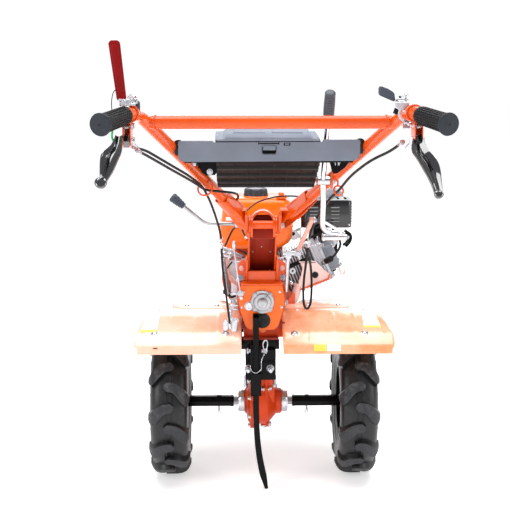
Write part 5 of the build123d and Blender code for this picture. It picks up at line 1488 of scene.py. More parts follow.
def lid_loop(y, zt, inset=0.0):
    o = [(-125 + inset, 992.7), (-125 + inset, max(zt - 11, 995)), (-123.6 + inset, max(zt - 9.8, 996.2)), (-107, max(zt - 9.4, 996.6)), (-98, zt - 0.6), (-96, zt), (91, zt), (93, zt - 0.6),
         (102, max(zt - 9.0, 996.6)), (114.6 - inset, max(zt - 9.2, 996.2)), (116 - inset, max(zt - 10.6, 995)), (116 - inset, 992.7)]
    i = [(113 - inset, 992.7), (113 - inset, max(zt - 12.4, 993.6)), (100.4, max(zt - 12.2, 993.8)), (91.4, zt - 3), (-96.4, zt - 3), (-106, max(zt - 12.4, 993.8)), (-122 + inset, max(zt - 12.6, 993.6)), (-122 + inset, 992.7)]
    return [(x, y, z) for x, z in o + i]


ld.add(loft([lid_loop(y, zt) for y, zt in ((-579, 1001), (-575, 1003), (-566, 1006.4), (-540, 1008.2), (-470, 1010.6), (-404, 1012), (-398, 1010.4), (-394, 1006.5))]))
ld.add(prism([(-124.6, 992.7), (-124.6, 994.6), (-107, 995.6), (-99, 1001.6), (94, 1001.6), (101.4, 995.6), (115.6, 994.6), (115.6, 992.7)], -581, -578.4, "y", 0.7))
ld.add(prism([(-124, 992.7), (-124, 995.6), (-106, 996.6), (-96, 1007), (91, 1007), (101, 996.6), (115, 995.6), (115, 992.7)], -397, -394.2, "y", 0.7))
# shallow moulded panels and two stiffening beads on top
for x0, x1 in ((-84, -8), (4, 80)):
    ld.add(bevelled(*loft([[(x0, y, 1008.0 + (y + 540) * 0.0245), (x1, y, 1008.0 + (y + 540) * 0.0245), (x1 - 2, y, 1009.8 + (y + 540) * 0.0245), (x0 + 2, y, 1009.8 + (y + 540) * 0.0245)] for y in (-540, -420)]), 0.4))
ld.add(prism([(-583.2, 993), (-583.8, 996), (-582, 998), (-579, 998), (-579, 993)], -20, 16, "x", 0.6))
# hinge arms and barrels
for xa in (-90, 64):
    ld.add(box(xa + 0.4, xa + 19.6, -397, -385, 993.4, 998.6, 0.8))
    ld.add(lathe([(0.4, 1.7), (0.4, 4.1), (0.9, 4.5), (19.1, 4.5), (19.6, 4.1), (19.6, 1.7)], 24, ring=True), at((xa, -384, 996), (1, 0, 0)))
ld.make(("tool_box_lid",), "grey_plastic", sharp=30)
# ------------------------------------------------------------------ engine
CRANK = (-5, 522)


def tier(z, x0, x1, y0, y1, r):
    return [(u, w, z) for u, w in round2(x0, x1, y0, y1, r, 6)]


fu = Piece("fuel_tank_shell", "chassis")
fu.use(TANK)
fu.add(loft([tier(626, -96, 34, 106, 240, 20), tier(627.5, -106, 46, 98, 248, 24), tier(633, -117, 62, 90, 256, 27), tier(644, -123.6, 78, 85.5, 260.5, 29),
             tier(658, -124, 87, 84, 262, 29), tier(675, -122.6, 88, 84.2, 261.6, 28), tier(689.6, -119.6, 88, 85.6, 260.4, 27),
             tier(690.8, -122.8, 90.6, 82.4, 262, 28), tier(695.2, -122.8, 90.6, 82.4, 262, 28), tier(696.4, -118.8, 87.8, 86, 260, 27),
             tier(712, -117, 87.4, 86, 260, 27), tier(740, -113.6, 86, 87, 259, 27), tier(755, -111, 84, 88.4, 257, 27), tier(764, -107, 80, 92, 253, 26),
             tier(770, -100, 73, 98, 246, 24), tier(773.2, -90, 63, 107, 237, 20), tier(774, -76, 48, 120, 224, 16)]))
# filler neck flange, breather boss, badge recess left blank
m = at((-17, 160, 773), (0, 0, 1))
fu.add(lathe([(-2, 0), (-2, 43), (0.8, 43), (2.6, 41), (2.6, 0)], 36), m)
fu.add(box(40, 70, 96, 130, 772.6, 781, 2.0, 2))
fu.add(lathe([(0, 0), (0, 8), (9, 8), (10, 7), (10, 0)], 16), at((55, 113, 779), (0, 0, 1)))
fu.use(LABEL)
fu.add(prism(round2(-104, -72, 712, 722, 2), 84.9, 85.6, "y", 0.1))
fu.use(ZINC)
for x in (-108, 74):
    for y in (112, 232):
        fu.bolt((x, y, 690.6), (0, 0, -1), 10, 5)
fu.make(("fuel_tank",), "tank", sharp=36)

fc = Piece("fuel_cap_knurled", "chassis")
fc.use(CAP_PL)


def lobed(z, r, depth, n=72, lobes=6):
    out = []
    for i in range(n):
        a = 2 * math.pi * i / n
        out.append((-17 + (r - depth * max(0.0, math.cos(lobes * a)) ** 2) * math.cos(a), 160 + (r - depth * max(0.0, math.cos(lobes * a)) ** 2) * math.sin(a), z))
    return out


fc.add(loft([lobed(775, 34, 0), lobed(776, 35.6, 0), lobed(778, 36, 0.4), lobed(780, 35.6, 4.6), lobed(792, 34.6, 4.8), lobed(795, 32, 4.2), lobed(796, 29, 3.4), lobed(795.4, 24, 0), lobed(794.6, 22, 0)]))
fc.use(DOME_PL)
fc.add(lathe([(0, 0), (0, 21), (0.9, 21), (1.3, 20), (1.3, 0)], 32), at((-17, 160, 794.2), (0, 0, 1)))
fc.make(("fuel_cap",), "black_plastic")

# crankcase with its cooling fins; the cylinder leans up towards the right
ec = Piece("crankcase_casting", "chassis")
ec.use(ALU)
for z0, z1, ins, r in ((428, 470, 0, 12), (470, 566, 4, 14), (566, 600, 0, 14)):
    ec.add(bevelled(*loft([tier(z0, -92 + ins, 70 - ins, 54 + ins, 205 - ins, r), tier(z1, -92 + ins, 70 - ins, 54 + ins, 205 - ins, r)]), 2.0, 2))
m = at((CRANK[0], 46, CRANK[1]), (0, 1, 0))
ec.add(lathe([(0, 0), (0, 50), (2, 58), (4, 60), (10, 60), (12, 56), (12, 0)], 48), m)
for k in range(6):
    a = math.radians(30 + 60 * k)
    ec.use(ZINC).bolt((CRANK[0] + 52 * math.cos(a), 46.4, CRANK[1] + 52 * math.sin(a)), (0, -1, 0), 9, 4)
ec.use(ALU)
for x in (-74, -46, -18, 10, 38):
    ec.add(prism([(54.6, 432), (51.6, 436), (51.6, 592), (54.6, 597)], x, x + 4, "x", 0.8))
for y in (84, 120, 156):
    ec.add(prism([(-92, 474), (-90, 480), (-90, 560), (-92, 566), (-86, 560), (-86, 480)], y, y + 5, "y", 0.6))
TILT = Matrix.Translation((0, 0, CRANK[1])) @ Matrix.Rotation(math.radians(-22), 4, "Y")
# barrel between the fins in darker aluminium: painted shade between the fins
ec.use(ALU_FIN_SHADE)
ec.add(box(68, 166, 74, 186, -46, 50, 3, 2), TILT)
ec.use(ALU)
for k in range(11):
    x = 76 + 8.2 * k
    ec.add(prism(round2(62, 198, -58, 62, 16), x, x + 2.6, "x", 0.7), TILT)
    for y, z in ((80, -58.5), (104, -58.5), (128, -58.5), (152, -58.5)):
        ec.add(box(x - 0.2, x + 2.8, y, y + 3, z, z + 8, 0.3), TILT)
ec.use(BLACK)
# tin cover strips over the fins' rear edges
for z0, z1 in ((-46, -34), (22, 34)):
    ec.add(prism([(60.4, z0), (63.4, z0), (63.4, z1), (60.4, z1)], 80, 160, "x", 0.5), TILT)
ec.use(ZINC)
ec.add(lathe([(0, 3.4), (0, 9), (2.4, 9), (2.4, 3.4)], 24, ring=True), at((86, 60, 570), (0, -1, 0)))
ec.dome((82, 59, 535), (0, -1, 0), 7.5, 6)
ec.dome((104, 59, 606), (0, -1, 0), 6, 5)
ec.bolt((-30, 50.4, 448), (0, -1, 0), 12, 6)
ec.bolt((44, 50.4, 448), (0, -1, 0), 12, 6)
# drain plug and oil filler on the left
ec.bolt((-93, 96, 452), (-1, 0, 0), 17, 8)
ec.use(BLACK_PL)
ec.add(lathe([(0, 0), (0, 17), (4, 17), (4, 13), (20, 13), (22, 11), (22, 0)], 28), at((-90, 150, 492), (-0.9, 0, 0.44)))
for k in range(8):
    a = math.pi / 4 * k
    mm = at((-90, 150, 492), (-0.9, 0, 0.44)) @ Matrix.Rotation(a, 4, "Z")
    ec.add(box(11, 16, -2.4, 2.4, 5, 20, 0.8), mm)
ec.make(("crankcase",), "alu", sharp=35)

ch = Piece("cylinder_head_casting", "chassis")
ch.use(ALU)
ch.add(box(166, 199, 66, 194, -54, 58, 4, 2), TILT)
for k in range(4):
    x = 169 + 7.4 * k
    ch.add(prism(round2(62, 198, -57, 61, 12), x, x + 2.8, "x", 0.6), TILT)
ch.use(DOME_PL)
ch.add(bevelled(*loft([[(x, u, w) for u, w in round2(84 - g, 176 + g, -36 - g, 40 + g, 12 + g)] for x, g in ((199, 6), (204, 6), (205, 0), (226, 0), (230, -4), (232, -10))]), 0.8), TILT)
ch.use(ZINC)
for y, z in ((92, -28), (92, 32), (168, -28), (168, 32)):
    ch.bolt(tuple(TILT @ Vector((230.4, y, z))), tuple(TILT.to_3x3() @ Vector((1, 0, 0))), 9, 5)
for y, z in ((72, -44), (72, 48), (188, -44), (188, 48)):
    ch.bolt(tuple(TILT @ Vector((199, y, z))), tuple(TILT.to_3x3() @ Vector((1, 0, 0))), 12, 7)
# spark plug with its cap, lead curling back towards the shroud
ch.add(rod(tuple(TILT @ Vector((186, 64, 0))), tuple(TILT @ Vector((200, 46, 6))), 7, 16, 1))
ch.use(BLACK_PL)
ch.add(rod(tuple(TILT @ Vector((196, 50, 4))), tuple(TILT @ Vector((214, 30, 10))), 9, 18, 2))
ch.use(CABLE)
ch.add(tube(soften([tuple(TILT @ Vector((212, 34, 8))), (226, 44, 640), (214, 50, 672), (190, 90, 676), (150, 120, 664), (118, 140, 640)]), 3.4, 10))
ch.make(("cylinder_head",), "alu", sharp=35)

# side covers seen under the tank and the exhaust
sd = Piece("engine_side_covers", "chassis")
sd.use(COWL_HIGHLIGHT)
face = [(107, 597), (152, 598), (176, 574), (193, 562), (190, 545), (150, 526), (108, 514), (103, 540), (110, 560), (114, 580)]
sd.add(prism(face, 52, 55, "y", 0.9))
sd.add(prism([(103, 597), (107, 597.5), (152, 598), (152, 594), (108, 593.4)], 52, 74, "y", 0.6))
sd.use(ORANGE)
sd.add(prism([(107, 515), (190, 546), (194, 562), (190, 563), (187, 550), (108, 519.5)], 48, 76, "y", 0.8))
sd.add(prism([(63, 477), (92, 477), (92, 512), (84, 512)], 28, 32, "y", 0.8))
sd.add(prism([(60, 474), (94, 474), (94, 478), (60, 478)], 28, 60, "y", 0.8))
sd.use(BLACK_PL)
sd.add(lathe([(0, 0), (0, 9), (3, 9.4), (8, 8), (9, 6), (9, 0)], 20), at((150, 52, 560), (0, -1, 0)))
sd.use(COWL_HIGHLIGHT)
sd.add(sweep(soften([(102, 62, 531), (98, 60, 500), (86, 60, 478), (66, 62, 462), (48, 66, 456)], 7), ring2(12, 16)))
for p, d in (((102, 62, 531), (0, 0, 1)), ((66, 62, 462), (-0.8, 0.1, -0.5))):
    sd.add(lathe([(-3, 10), (-3, 14), (3, 14), (3, 10)], 20, ring=True), at(p, d))
sd.use(BLACK)
# air duct down from the exhaust guard, strap across the head
sd.add(prism([(150, 690), (177, 690), (177, 612), (198, 600), (200, 592), (128, 592), (130, 600), (150, 610)], 142, 158, "y", 1.2))
sd.add(prism([(203, 682), (221, 682), (221, 640), (217, 556), (206, 551), (203, 560)], 136, 140, "y", 0.8))
sd.add(prism([(203, 660), (221, 660), (221, 656), (203, 656)], 136, 172, "y", 0.8))
sd.use(LABEL)
sd.dome((211, 136, 566), (0, -1, 0), 7, 4)
sd.use(ZINC)
sd.bolt((211, 136, 640), (0, -1, 0), 10, 5)
sd.bolt((190, 142, 606), (0, -1, 0), 11, 6)
sd.bolt((138, 142, 598), (0, -1, 0), 10, 5)
for p0, p1 in (((108, 72, 690), (112, 72, 622)), ((160, 128, 664), (196, 128, 622))):
    sd.add(tube(bent([p0, (p0[0] + 1, p0[1], p0[2] - 20), p1], 8), 2.2, 8))
sd.add(lathe([(0, 2.6), (0, 6), (3, 6), (3, 2.6)], 16, ring=True), at((112, 72, 620), (0, -1, 0)))
sd.use(COWL_HIGHLIGHT)
sd.add(tube(bent([(226, 130, 566), (231, 130, 547), (240, 130, 547), (242, 130, 560)], 6), 3, 10))
sd.use(CABLE)
sd.add(tube(bent([(241, 134, 676), (250, 134, 668), (248, 134, 640), (236, 134, 632)], 12), 4, 10))
sd.make((), None, sharp=35)

# exhaust guard: pressed box with louvres in its rear face
mg = Piece("exhaust_guard_pressing", "chassis")
mg.use(GLOSS)
mg.add(bevelled(*loft([tier(z, 114 + g, 262 - g, 140 + g, 236 - g, 12) for z, g in ((682, 1.2), (684, 0), (758, 0), (760.6, 1.5), (762, 5))], caps=False), 0.0))
mg.add(plate([(u, w) for u, w in round2(118.6, 257.4, 144.6, 231.4, 9)], [slot2(136 + 22 * i, 168, 136 + 22 * i, 210, 3.4) for i in range(6)], 760.6, 762, "z"))
mg.add(box(116, 260, 142, 234, 684, 686, 0.4))
for cx, w in ((151, 27), (213, 27)):
    for i in range(5):
        z = 698 + 10.2 * i
        # each louvre: a lip pressed outward, open below
        mg.add(loft([[(cx - w / 2, 141, z), (cx + w / 2, 141, z), (cx + w / 2, 141, z + 5.4), (cx - w / 2, 141, z + 5.4)],
                     [(cx - w / 2 + 2, 136.6, z - 0.6), (cx + w / 2 - 2, 136.6, z - 0.6), (cx + w / 2 - 2, 137.6, z + 1.4), (cx - w / 2 + 2, 137.6, z + 1.4)]]))
for i in range(7):
    z = 697 + 8.6 * i
    mg.add(loft([[(261, y0, z) for y0 in (164, 214)] + [(261, y0, z + 6) for y0 in (214, 164)],
                 [(265, y0, z - 0.6) for y0 in (166, 212)] + [(264, y0, z + 1.4) for y0 in (212, 166)]]))
mg.use(ZINC)
for x, z in ((122, 748), (254, 690)):
    mg.dome((x, 140, z), (0, -1, 0), 3.0, 1.6)
mg.use(HEAT)
mg.add(tube(bent([(166, 156, 690), (166, 152, 645), (176, 152, 618)], 22), 11, 20))
mg.add(lathe([(0, 0), (0, 19), (5, 19), (5, 0)], 6), at((176, 152, 616), (0.2, 0, -1)))
mg.add(lathe([(0, 7.6), (0, 10), (26, 10), (26, 7.6)], 20, ring=True), at((250, 236, 708), (0.5, 0.86, 0)))
mg.make(("muffler",), "black_paint", sharp=35)

ac = Piece("air_cleaner_can", "chassis")
ac.use(DOME_PL)
ac.add(disc([(0, 60), (0, 62), (4, 62), (6, 60), (8, 60), (10, 62), (64, 62), (74, 59.6), (82, 52), (87, 40), (89.4, 26), (90, 13)], 48), at((190, 306, 690), (0, 0, 1)))
ac.use(ZINC)
ac.add(lathe([(0, 0), (0, 16), (1.6, 16), (1.6, 0)], 24), at((190, 306, 778.2), (0, 0, 1)))
m = at((190, 306, 779), (0, 0, 1))
ac.add(lathe([(0, 0), (0, 5), (7, 5), (8, 4), (8, 0)], 12), m)
for s in (-1, 1):
    ac.add(box(s * 8 - 5, s * 8 + 5, -1.3, 1.3, 3, 9, 0.8), m)
ac.use(BLACK_PL)
for k in range(20):
    a = 2 * math.pi * k / 20
    ac.add(box(59, 62.6, -3.4, 3.4, 14, 22, 0.6), at((190, 306, 690), (0, 0, 1)) @ Matrix.Rotation(a, 4, "Z"))
ac.make(("air_cleaner",), "filter", sharp=35)

cb = Piece("carburettor_casting", "chassis")
cb.use(ALU)
cb.add(box(142, 188, 208, 246, 634, 666, 4, 2))
cb.add(disc([(0, 16), (2, 18), (18, 18), (22, 16), (24, 12)], 28), at((165, 228, 634), (0, 0, -1)))
cb.add(rod((165, 240, 650), (165, 262, 650), 14, 24, 1.2))
cb.add(prism([(146, 640), (184, 640), (184, 662), (146, 662)], 262, 267, "y", 1.2))
cb.add(tube(bent([(165, 266, 648), (165, 284, 648), (166, 290, 688)], 18), 13, 20))
cb.use(ZINC)
for x in (150, 180):
    cb.bolt((x, 262, 650), (0, -1, 0), 9, 5)
cb.add(rod((146, 226, 666), (146, 226, 676), 3.5, 12, 0.6))
cb.add(tube(bent([(146, 226, 672), (120, 206, 674), (96, 150, 668), (85, 148, 656)], 12), 1.6, 8))
cb.add(helix((112, 186, 672), (92, 152, 668), 3.4, 0.7, 9))
cb.add(prism([(85, 650), (92, 644), (112, 652), (112, 660), (98, 676), (88, 676)], 146, 148.6, "y", 0.5))
cb.use(BLACK)
cb.add(rod((92, 152, 664), (92, 140, 664), 5, 14, 0.8))
cb.make(("carburettor",), "alu", sharp=35)

# fan housing with the recoil starter on its front
fs = Piece("fan_housing_pressing", "chassis")
fs.use(ORANGE)
m = at((CRANK[0], 212, CRANK[1]), (0, 1, 0), (1, 0, 0))


def cut(r, top):
    """Ring of the housing, flattened under the tank. Local y runs down."""
    out = []
    for i in range(72):
        a = 2 * math.pi * i / 72
        out.append((r * math.cos(a), max(r * math.sin(a), -top)))
    return out


def shell(prof, top=101.0):
    rings = []
    for t, r in prof:
        rings.append([(u, w, t) for u, w in cut(r, min(top, r))])
    return loft(rings)


fs.add(shell([(0, 106), (1, 110), (3, 112), (70, 112), (76, 110), (84, 104), (88, 98)]), m)
fs.add(shell([(8, 109), (8, 112.6), (12, 112.6), (12, 109)], 102), m)
fs.use(DARK)
for k in range(26):
    a = 2 * math.pi * k / 26
    fs.add(box(97, 108.5, -3, 3, 80.5, 84.5 if k % 2 else 84, 1.0), m @ Matrix.Rotation(a, 4, "Z"))
fs.use(ZINC)
for k in range(6):
    a = math.radians(15 + 60 * k)
    p = m @ Vector((103 * math.cos(a), 103 * math.sin(a), 82))
    fs.bolt(tuple(p), (0, 1, 0), 9, 4)
fs.make(("fan_shroud",), "shroud", sharp=35)

rs = Piece("recoil_starter_cover", "chassis")
rs.use(ORANGE)
m = at((CRANK[0], 300, CRANK[1]), (0, 1, 0), (1, 0, 0))
rs.add(lathe([(-2, 0), (-2, 82), (0, 84), (5, 84), (7, 80), (12, 78), (20, 74), (20, 64)], 64), m)
outer = circle2(0, 0, 66, 64)
holes = []
for k in range(12):
    a = 2 * math.pi * k / 12
    p = [(34 * math.cos(a - 0.13), 34 * math.sin(a - 0.13)), (59 * math.cos(a - 0.17), 59 * math.sin(a - 0.17)), (60 * math.cos(a), 60 * math.sin(a)),
         (59 * math.cos(a + 0.17), 59 * math.sin(a + 0.17)), (34 * math.cos(a + 0.13), 34 * math.sin(a + 0.13))]
    holes.append(p)
rs.add(plate(outer, holes, 18, 21, "z"), m)
rs.add(disc([(20, 30), (30, 28), (33, 25), (34, 20), (36, 18), (37.6, 12)], 40), m)
# dark disc behind the vent holes: painted shade inside the cover
rs.use(DARK)
rs.add(disc([(9, 62), (10, 62)], 40), m)
rs.use(ZINC)
rs.bolt(tuple(m @ Vector((0, 0, 33))), (0, 1, 0), 12, 4)
for k in range(3):
    a = math.radians(90 + 120 * k)
    rs.add(box(76, 90, -8, 8, 0, 5, 1.2), m @ Matrix.Rotation(a, 4, "Z"))
    rs.bolt(tuple(m @ Vector((84 * math.cos(a), 84 * math.sin(a), 5))), (0, 1, 0), 10, 4)
rs.use(BLACK_PL)
# starter grip at rest in its guide
rs.add(lathe([(0, 0), (0, 9), (6, 10), (10, 8), (12, 0)], 20), m @ Matrix.Translation((-66, -36, 14)))
rs.add(bevelled(*loft([[(x, y, z) for x, y in round2(-13, 13, -6, 6, 5)] for z in (0, 10)]), 2), m @ Matrix.Translation((-66, -36, 26 - 2)))
rs.make(("recoil_starter",), "shroud", sharp=35)

# sump plate, front frame and bumper
eb = Piece("engine_base_casting", "chassis")
eb.use(BLACK)
eb.add(plate(round2(-100, 84, 50, 212, 8), [slot2(-80, 70, -80, 90, 5), slot2(64, 70, 64, 90, 5), slot2(-80, 172, -80, 192, 5), slot2(64, 172, 64, 192, 5), circle2(-8, 131, 30, 32)], 416, 428, "z"))
eb.add(plate(round2(-98, 82, 52, 210, 8), [slot2(-80, 70, -80, 90, 5), slot2(64, 70, 64, 90, 5), slot2(-80, 172, -80, 192, 5), slot2(64, 172, 64, 192, 5), circle2(-8, 131, 26, 32)], 414, 416, "z"))
for x in (-92, -66, 50, 74):
    eb.add(box(x, x + 4, 56, 206, 424, 434, 0.8))
eb.use(ZINC)
for x in (-80, 64):
    for y in (80, 182):
        eb.bolt((x, y, 428), (0, 0, 1), 13, 7)
eb.make(("engine_base",), "black_paint", sharp=35)

fb = Piece("front_frame_channels", "chassis")
fb.use(BLACK)
for x0, x1, s in ((-84, -54, 1), (44, 74, -1)):
    fb.add(prism([(x0, 400), (x1, 400), (x1, 414), (x0, 414)], 30, 330, "y", 1.2))
    fb.add(box(x0 - 0.6 if s > 0 else x1 - 2.4, x0 + 2.4 if s > 0 else x1 + 0.6, 60, 326, 396, 416.5, 0.8))
fb.add(plate(round2(-54, 44, 300, 330, 2), [circle2(-30, 315, 5.5), circle2(20, 315, 5.5)], 400, 414, "z"))
fb.add(box(-60, 50, 20, 46, 400, 440, 2.0))
for x in (-46, 36):
    fb.add(prism([(46, 402), (74, 402), (46, 438)], x - 2, x + 2, "x", 0.6))
fb.use(ZINC)
for x in (-69, 59):
    for y in (270, 312):
        fb.bolt((x, y, 414), (0, 0, 1), 13, 7)
        fb.bolt((x, y, 400), (0, 0, -1), 13, 8)
fb.make(("front_frame",), "black_paint", sharp=35)

bu = Piece("bumper_tube", "chassis")
bu.use(BLACK)
for s in (-1, 1):
    x = -76 if s < 0 else 66
    bu.add(plate(round2(x - 15, x + 15, 280, 322, 4), [circle2(x, 312, 5)], 391, 396, "z"))
bu.add(tube(bent([(-76, 290, 386), (-76, 400, 372), (-120, 487, 345), (110, 487, 345), (66, 400, 372), (66, 290, 386)], [50, 40, 40, 50], 9), 13, 22))
bu.use(ZINC)
for x in (-76, 66):
    bu.bolt((x, 296, 391), (0, 0, -1), 12, 7)
bu.make(("bumper",), "black_paint", sharp=35)
# ------------------------------------------------------------------ fenders: pressed sheets over the tyres
REAR_ARC = ((20.0, 150.0), 325.0)
FRONT_ARC = ((55.0, 213.0), 268.0)


def arc_z(arc, y):
    c, r = arc
    return c[1] + math.sqrt(r * r - (y - c[0]) ** 2)


def table(pts, y):
    """Straight interpolation in a list of (y, value) with falling or rising y."""
    for (a, p), (b, q) in zip(pts, pts[1:]):
        if min(a, b) <= y <= max(a, b):
            return p + (q - p) * (y - a) / (b - a)
    return pts[-1][1]


def sheet(profile, inner, outer, rise, cols=44, thick=2.0, hem=True):
    """Sheet laid over a (y, z) profile between two x limits per row; rise(x, y) lifts the surface along its normal."""
    rows, n = [], len(profile)
    for k, (y, z) in enumerate(profile):
        a, b = profile[max(k - 1, 0)], profile[min(k + 1, n - 1)]
        ty, tz = b[0] - a[0], b[1] - a[1]
        ln = math.hypot(ty, tz)
        ny, nz = tz / ln, -ty / ln
        if nz < 0 and abs(nz) > 0.3:
            ny, nz = -ny, -nz
        if ny > 0 and abs(nz) <= 0.3:
            ny, nz = -ny, -nz
        x0, x1 = inner(y, k), outer(y, k)
        top, low = [], []
        for i in range(cols + 1):
            t = i / cols
            x = x0 + (x1 - x0) * t
            h = rise(x, y)
            if hem:
                e = min(x - x0, x1 - x)
                h -= 1.6 * max(0.0, 1 - e / 2.5) ** 2
            top.append((x, y + ny * h, z + nz * h))
            low.append((x, y + ny * (h - thick), z + nz * (h - thick)))
        rows.append(top + low[::-1])
    return loft(rows)


def ridge(x, xc, w, h):
    return h * math.exp(-((x - xc) / w) ** 2)


def fade(y, y0, y1, m=14):
    return max(0.0, min(1.0, (y - y0) / m, (y1 - y) / m))


def curve(p0, p1, p2, p3, n):
    out = []
    for k in range(1, n + 1):
        t = k / n
        w = ((1 - t) ** 3, 3 * t * (1 - t) ** 2, 3 * t * t * (1 - t), t ** 3)
        out.append(tuple(sum(q * p[i] for q, p in zip(w, (p0, p1, p2, p3))) for i in (0, 1)))
    return out


# an arc that turns down in an even curve towards the rear edge
rear_prof = [(y, arc_z(REAR_ARC, y)) for y in [-7.5 * k for k in range(13)]]
rear_prof += curve((-90, 455.8), (-136, 439.0), (-170.0, 424.0), (-181.8, 388), 28)


def rear_z(y):
    return table(rear_prof, y)
EDGE = [(0, 302), (-40, 319), (-90, 335), (-120, 343), (-140, 351.4), (-166, 352), (-173, 350), (-182, 345)]


def rear_fender(s):
    p = Piece("fender_rear_right_sheet" if s > 0 else "fender_rear_left_sheet", "chassis")
    p.use(FENDER_REFLECTION if s > 0 else FENDER_PALE_REFLECTION)
    creases = [(132, 124, -165, -100), (192, 191, -150, -30), (250, 252, -150, -30)] if s > 0 else [(123, 126, -140, -50), (185, 190, -168, -50), (250, 254, -120, -40)]

    def rise(x, y):
        h = 0.0
        for xa, xb, y0, y1 in creases:
            xc = xa + (xb - xa) * (y1 - y) / (y1 - y0)
            h += ridge(x, xc, 3.2, 1.5) * fade(y, y0, y1)
        # shallow raised field, as pressed
        f = fade(y, -158, -12, 10) * max(0.0, min(1.0, (x - 74) / 10, (table(EDGE, y) - 18 - x) / 10))
        return h + 1.1 * f * f * (3 - 2 * f)
    p.add(sheet(rear_prof, lambda y, k: 50.0 if s > 0 else 62.0, lambda y, k: table(EDGE, max(y, -182)), rise, 84), None, s < 0)
    # rolled bead along the outer edge
    p.add(tube([(table(EDGE, y) - 1.2, y, z - 1.6) for y, z in rear_prof[:-6]], 2.0, 8), None, s < 0)
    p.use(ZINC)
    for x in ((82, 273) if s > 0 else (104, 298)):
        y = -140.0
        z = rear_z(y) + 0.6
        m = at((s * x, y, z), (0, -0.49, 0.87))
        p.add(lathe([(-1, 0), (-1, 9.5), (0.9, 9.5), (1.3, 9), (1.3, 0)], 22), m)
        p.dome((s * x, y - 0.6, z + 1.1), (0, -0.49, 0.87), 6.4, 3.6)
    for x in (96, 286):
        y = -18.0
        p.dome((s * x, y, arc_z(REAR_ARC, y) + 0.6), (0, -0.12, 0.99), 5.6, 3.0)

    def patch(mat, quad, lift=0.7, n=6):
        """Thin sticker that follows the sheet; quad holds (x at y0, x at y1) for both sides."""
        (xa0, xa1), (xb0, xb1), y0, y1 = quad
        rings = []
        for i in range(n + 1):
            t = i / n
            y = y0 + (y1 - y0) * t
            a, b = xa0 + (xa1 - xa0) * t, xb0 + (xb1 - xb0) * t
            rr = []
            for q in range(5):
                x = a + (b - a) * q / 4
                zz = rear_z(y) + rise(abs(x), y)
                rr.append((x, y, zz + lift))
            rr += [(x, y, z - 0.5) for x, _, z in reversed(rr)]
            rings.append(rr)
        p.use(mat).add(loft(rings))
    if s < 0:
        patch(LABEL, ((-336, -318), (-291, -286), -124, -40))
        patch(LABEL_Y, ((-336.5, -334), (-291, -290.6), -134, -125))
    else:
        patch(LABEL, ((273, 274), (319, 308), -110, -32))
        patch(LABEL_Y, ((273, 273), (321, 319), -119, -111))
        for mat, x0, x1 in ((LABEL_Y, 133, 167), (LABEL, 168, 206)):
            p.use(mat).add(loft([[(x, y - 0.35, z) for x in (x0, x1)] + [(x, y + 0.4, z + 0.2) for x in (x1, x0)] for y, z in [(q[0] - 0.6, q[1]) for q in rear_prof[-8:-2]]]))
    p.use(DARK)
    xs = s * 294
    if s < 0:
        p.add(box(xs - 6, xs + 6, -177.6, -175.0, 403.4, 405.6, 0.3))
    p.make(("fender_rear_right" if s > 0 else "fender_rear_left",), "orange", sharp=50)


rear_fender(1)
rear_fender(-1)

ff = Piece("fender_front_sheets", "chassis")
front_prof = [(0.6 + 239.4 * k / 34, arc_z(FRONT_ARC, 0.6 + 239.4 * k / 34)) for k in range(35)]
F_IN = [(0, 58), (37.9, 58), (38.1, 99), (190, 126), (240, 126)]
F_OUT = [(0, 228), (14, 246), (60, 265), (215, 265), (240, 259)]


def front_rise(x, y):
    f = fade(y, 12, 228, 10) * max(0.0, min(1.0, (x - table(F_IN, y) - 10) / 10, (table(F_OUT, y) - 12 - x) / 10))
    h = 1.1 * f * f * (3 - 2 * f)
    for xc in (150, 200):
        h += ridge(x, xc, 3.4, 1.6) * fade(y, 30, 220)
    return h


for s in (-1, 1):
    ff.use(FENDER_PALE_REFLECTION)
    ff.add(sheet(front_prof, lambda y, k: table(F_IN, y), lambda y, k: table(F_OUT, y), front_rise, 60), None, s < 0)
    ff.add(tube([(table(F_OUT, y) - 1.2, y, arc_z(FRONT_ARC, y) - 1.6) for y, _ in front_prof], 2.0, 8), None, s < 0)
    ff.use(ZINC)
    for x in (129, 214):
        y = 20.0
        ff.dome((s * x, y, arc_z(FRONT_ARC, y) + 0.4), (0, -0.13, 0.99), 7, 4)
    for x, y in ((150, 200), (230, 200)):
        ff.dome((s * x, y, arc_z(FRONT_ARC, y) + 1.0), (0, 0.54, 0.84), 6, 3.6)
ff.make(("fender_fronts",), "orange", sharp=50)

st = Piece("fender_stay_straps", "chassis")
for s in (-1, 1):
    st.use(BLACK)
    for arc, y0, y1, x0, x1 in ((REAR_ARC, -152, -122, 60, 308), (FRONT_ARC, 8, 34, 60, 225)):
        low = (arc[0], arc[1] - 2.3)
        rings = []
        for k in range(7):
            y = y0 + (y1 - y0) * k / 6
            z = arc_z(low, y)
            g = 1.2 if k in (0, 6) else 0.0
            rings.append([(x0, y, z - g), (x1 - 8, y, z - g), (x1, y, z - g), (x1, y, z - 4 + g), (x1 - 8, y, z - 4 + g), (x0, y, z - 4 + g)])
        st.add(loft(rings), None, s < 0)
    st.add(prism([(57, -118), (66, -118), (66, -151), (57, -140)], 415, 421, "z", 0.8), None, s < 0)
    st.add(box(54, 66, 9, 33, 462, 472, 1.0), None, s < 0)
    st.use(ZINC)
    for x in ((82, 273) if s > 0 else (104, 298)):
        y = -138.0
        z = arc_z((REAR_ARC[0], REAR_ARC[1] - 6.3), y)
        st.bolt((s * x, y, z), (0, 0.49, -0.87), 11, 7)
st.make(("fender_stays",), "black_paint", sharp=40)
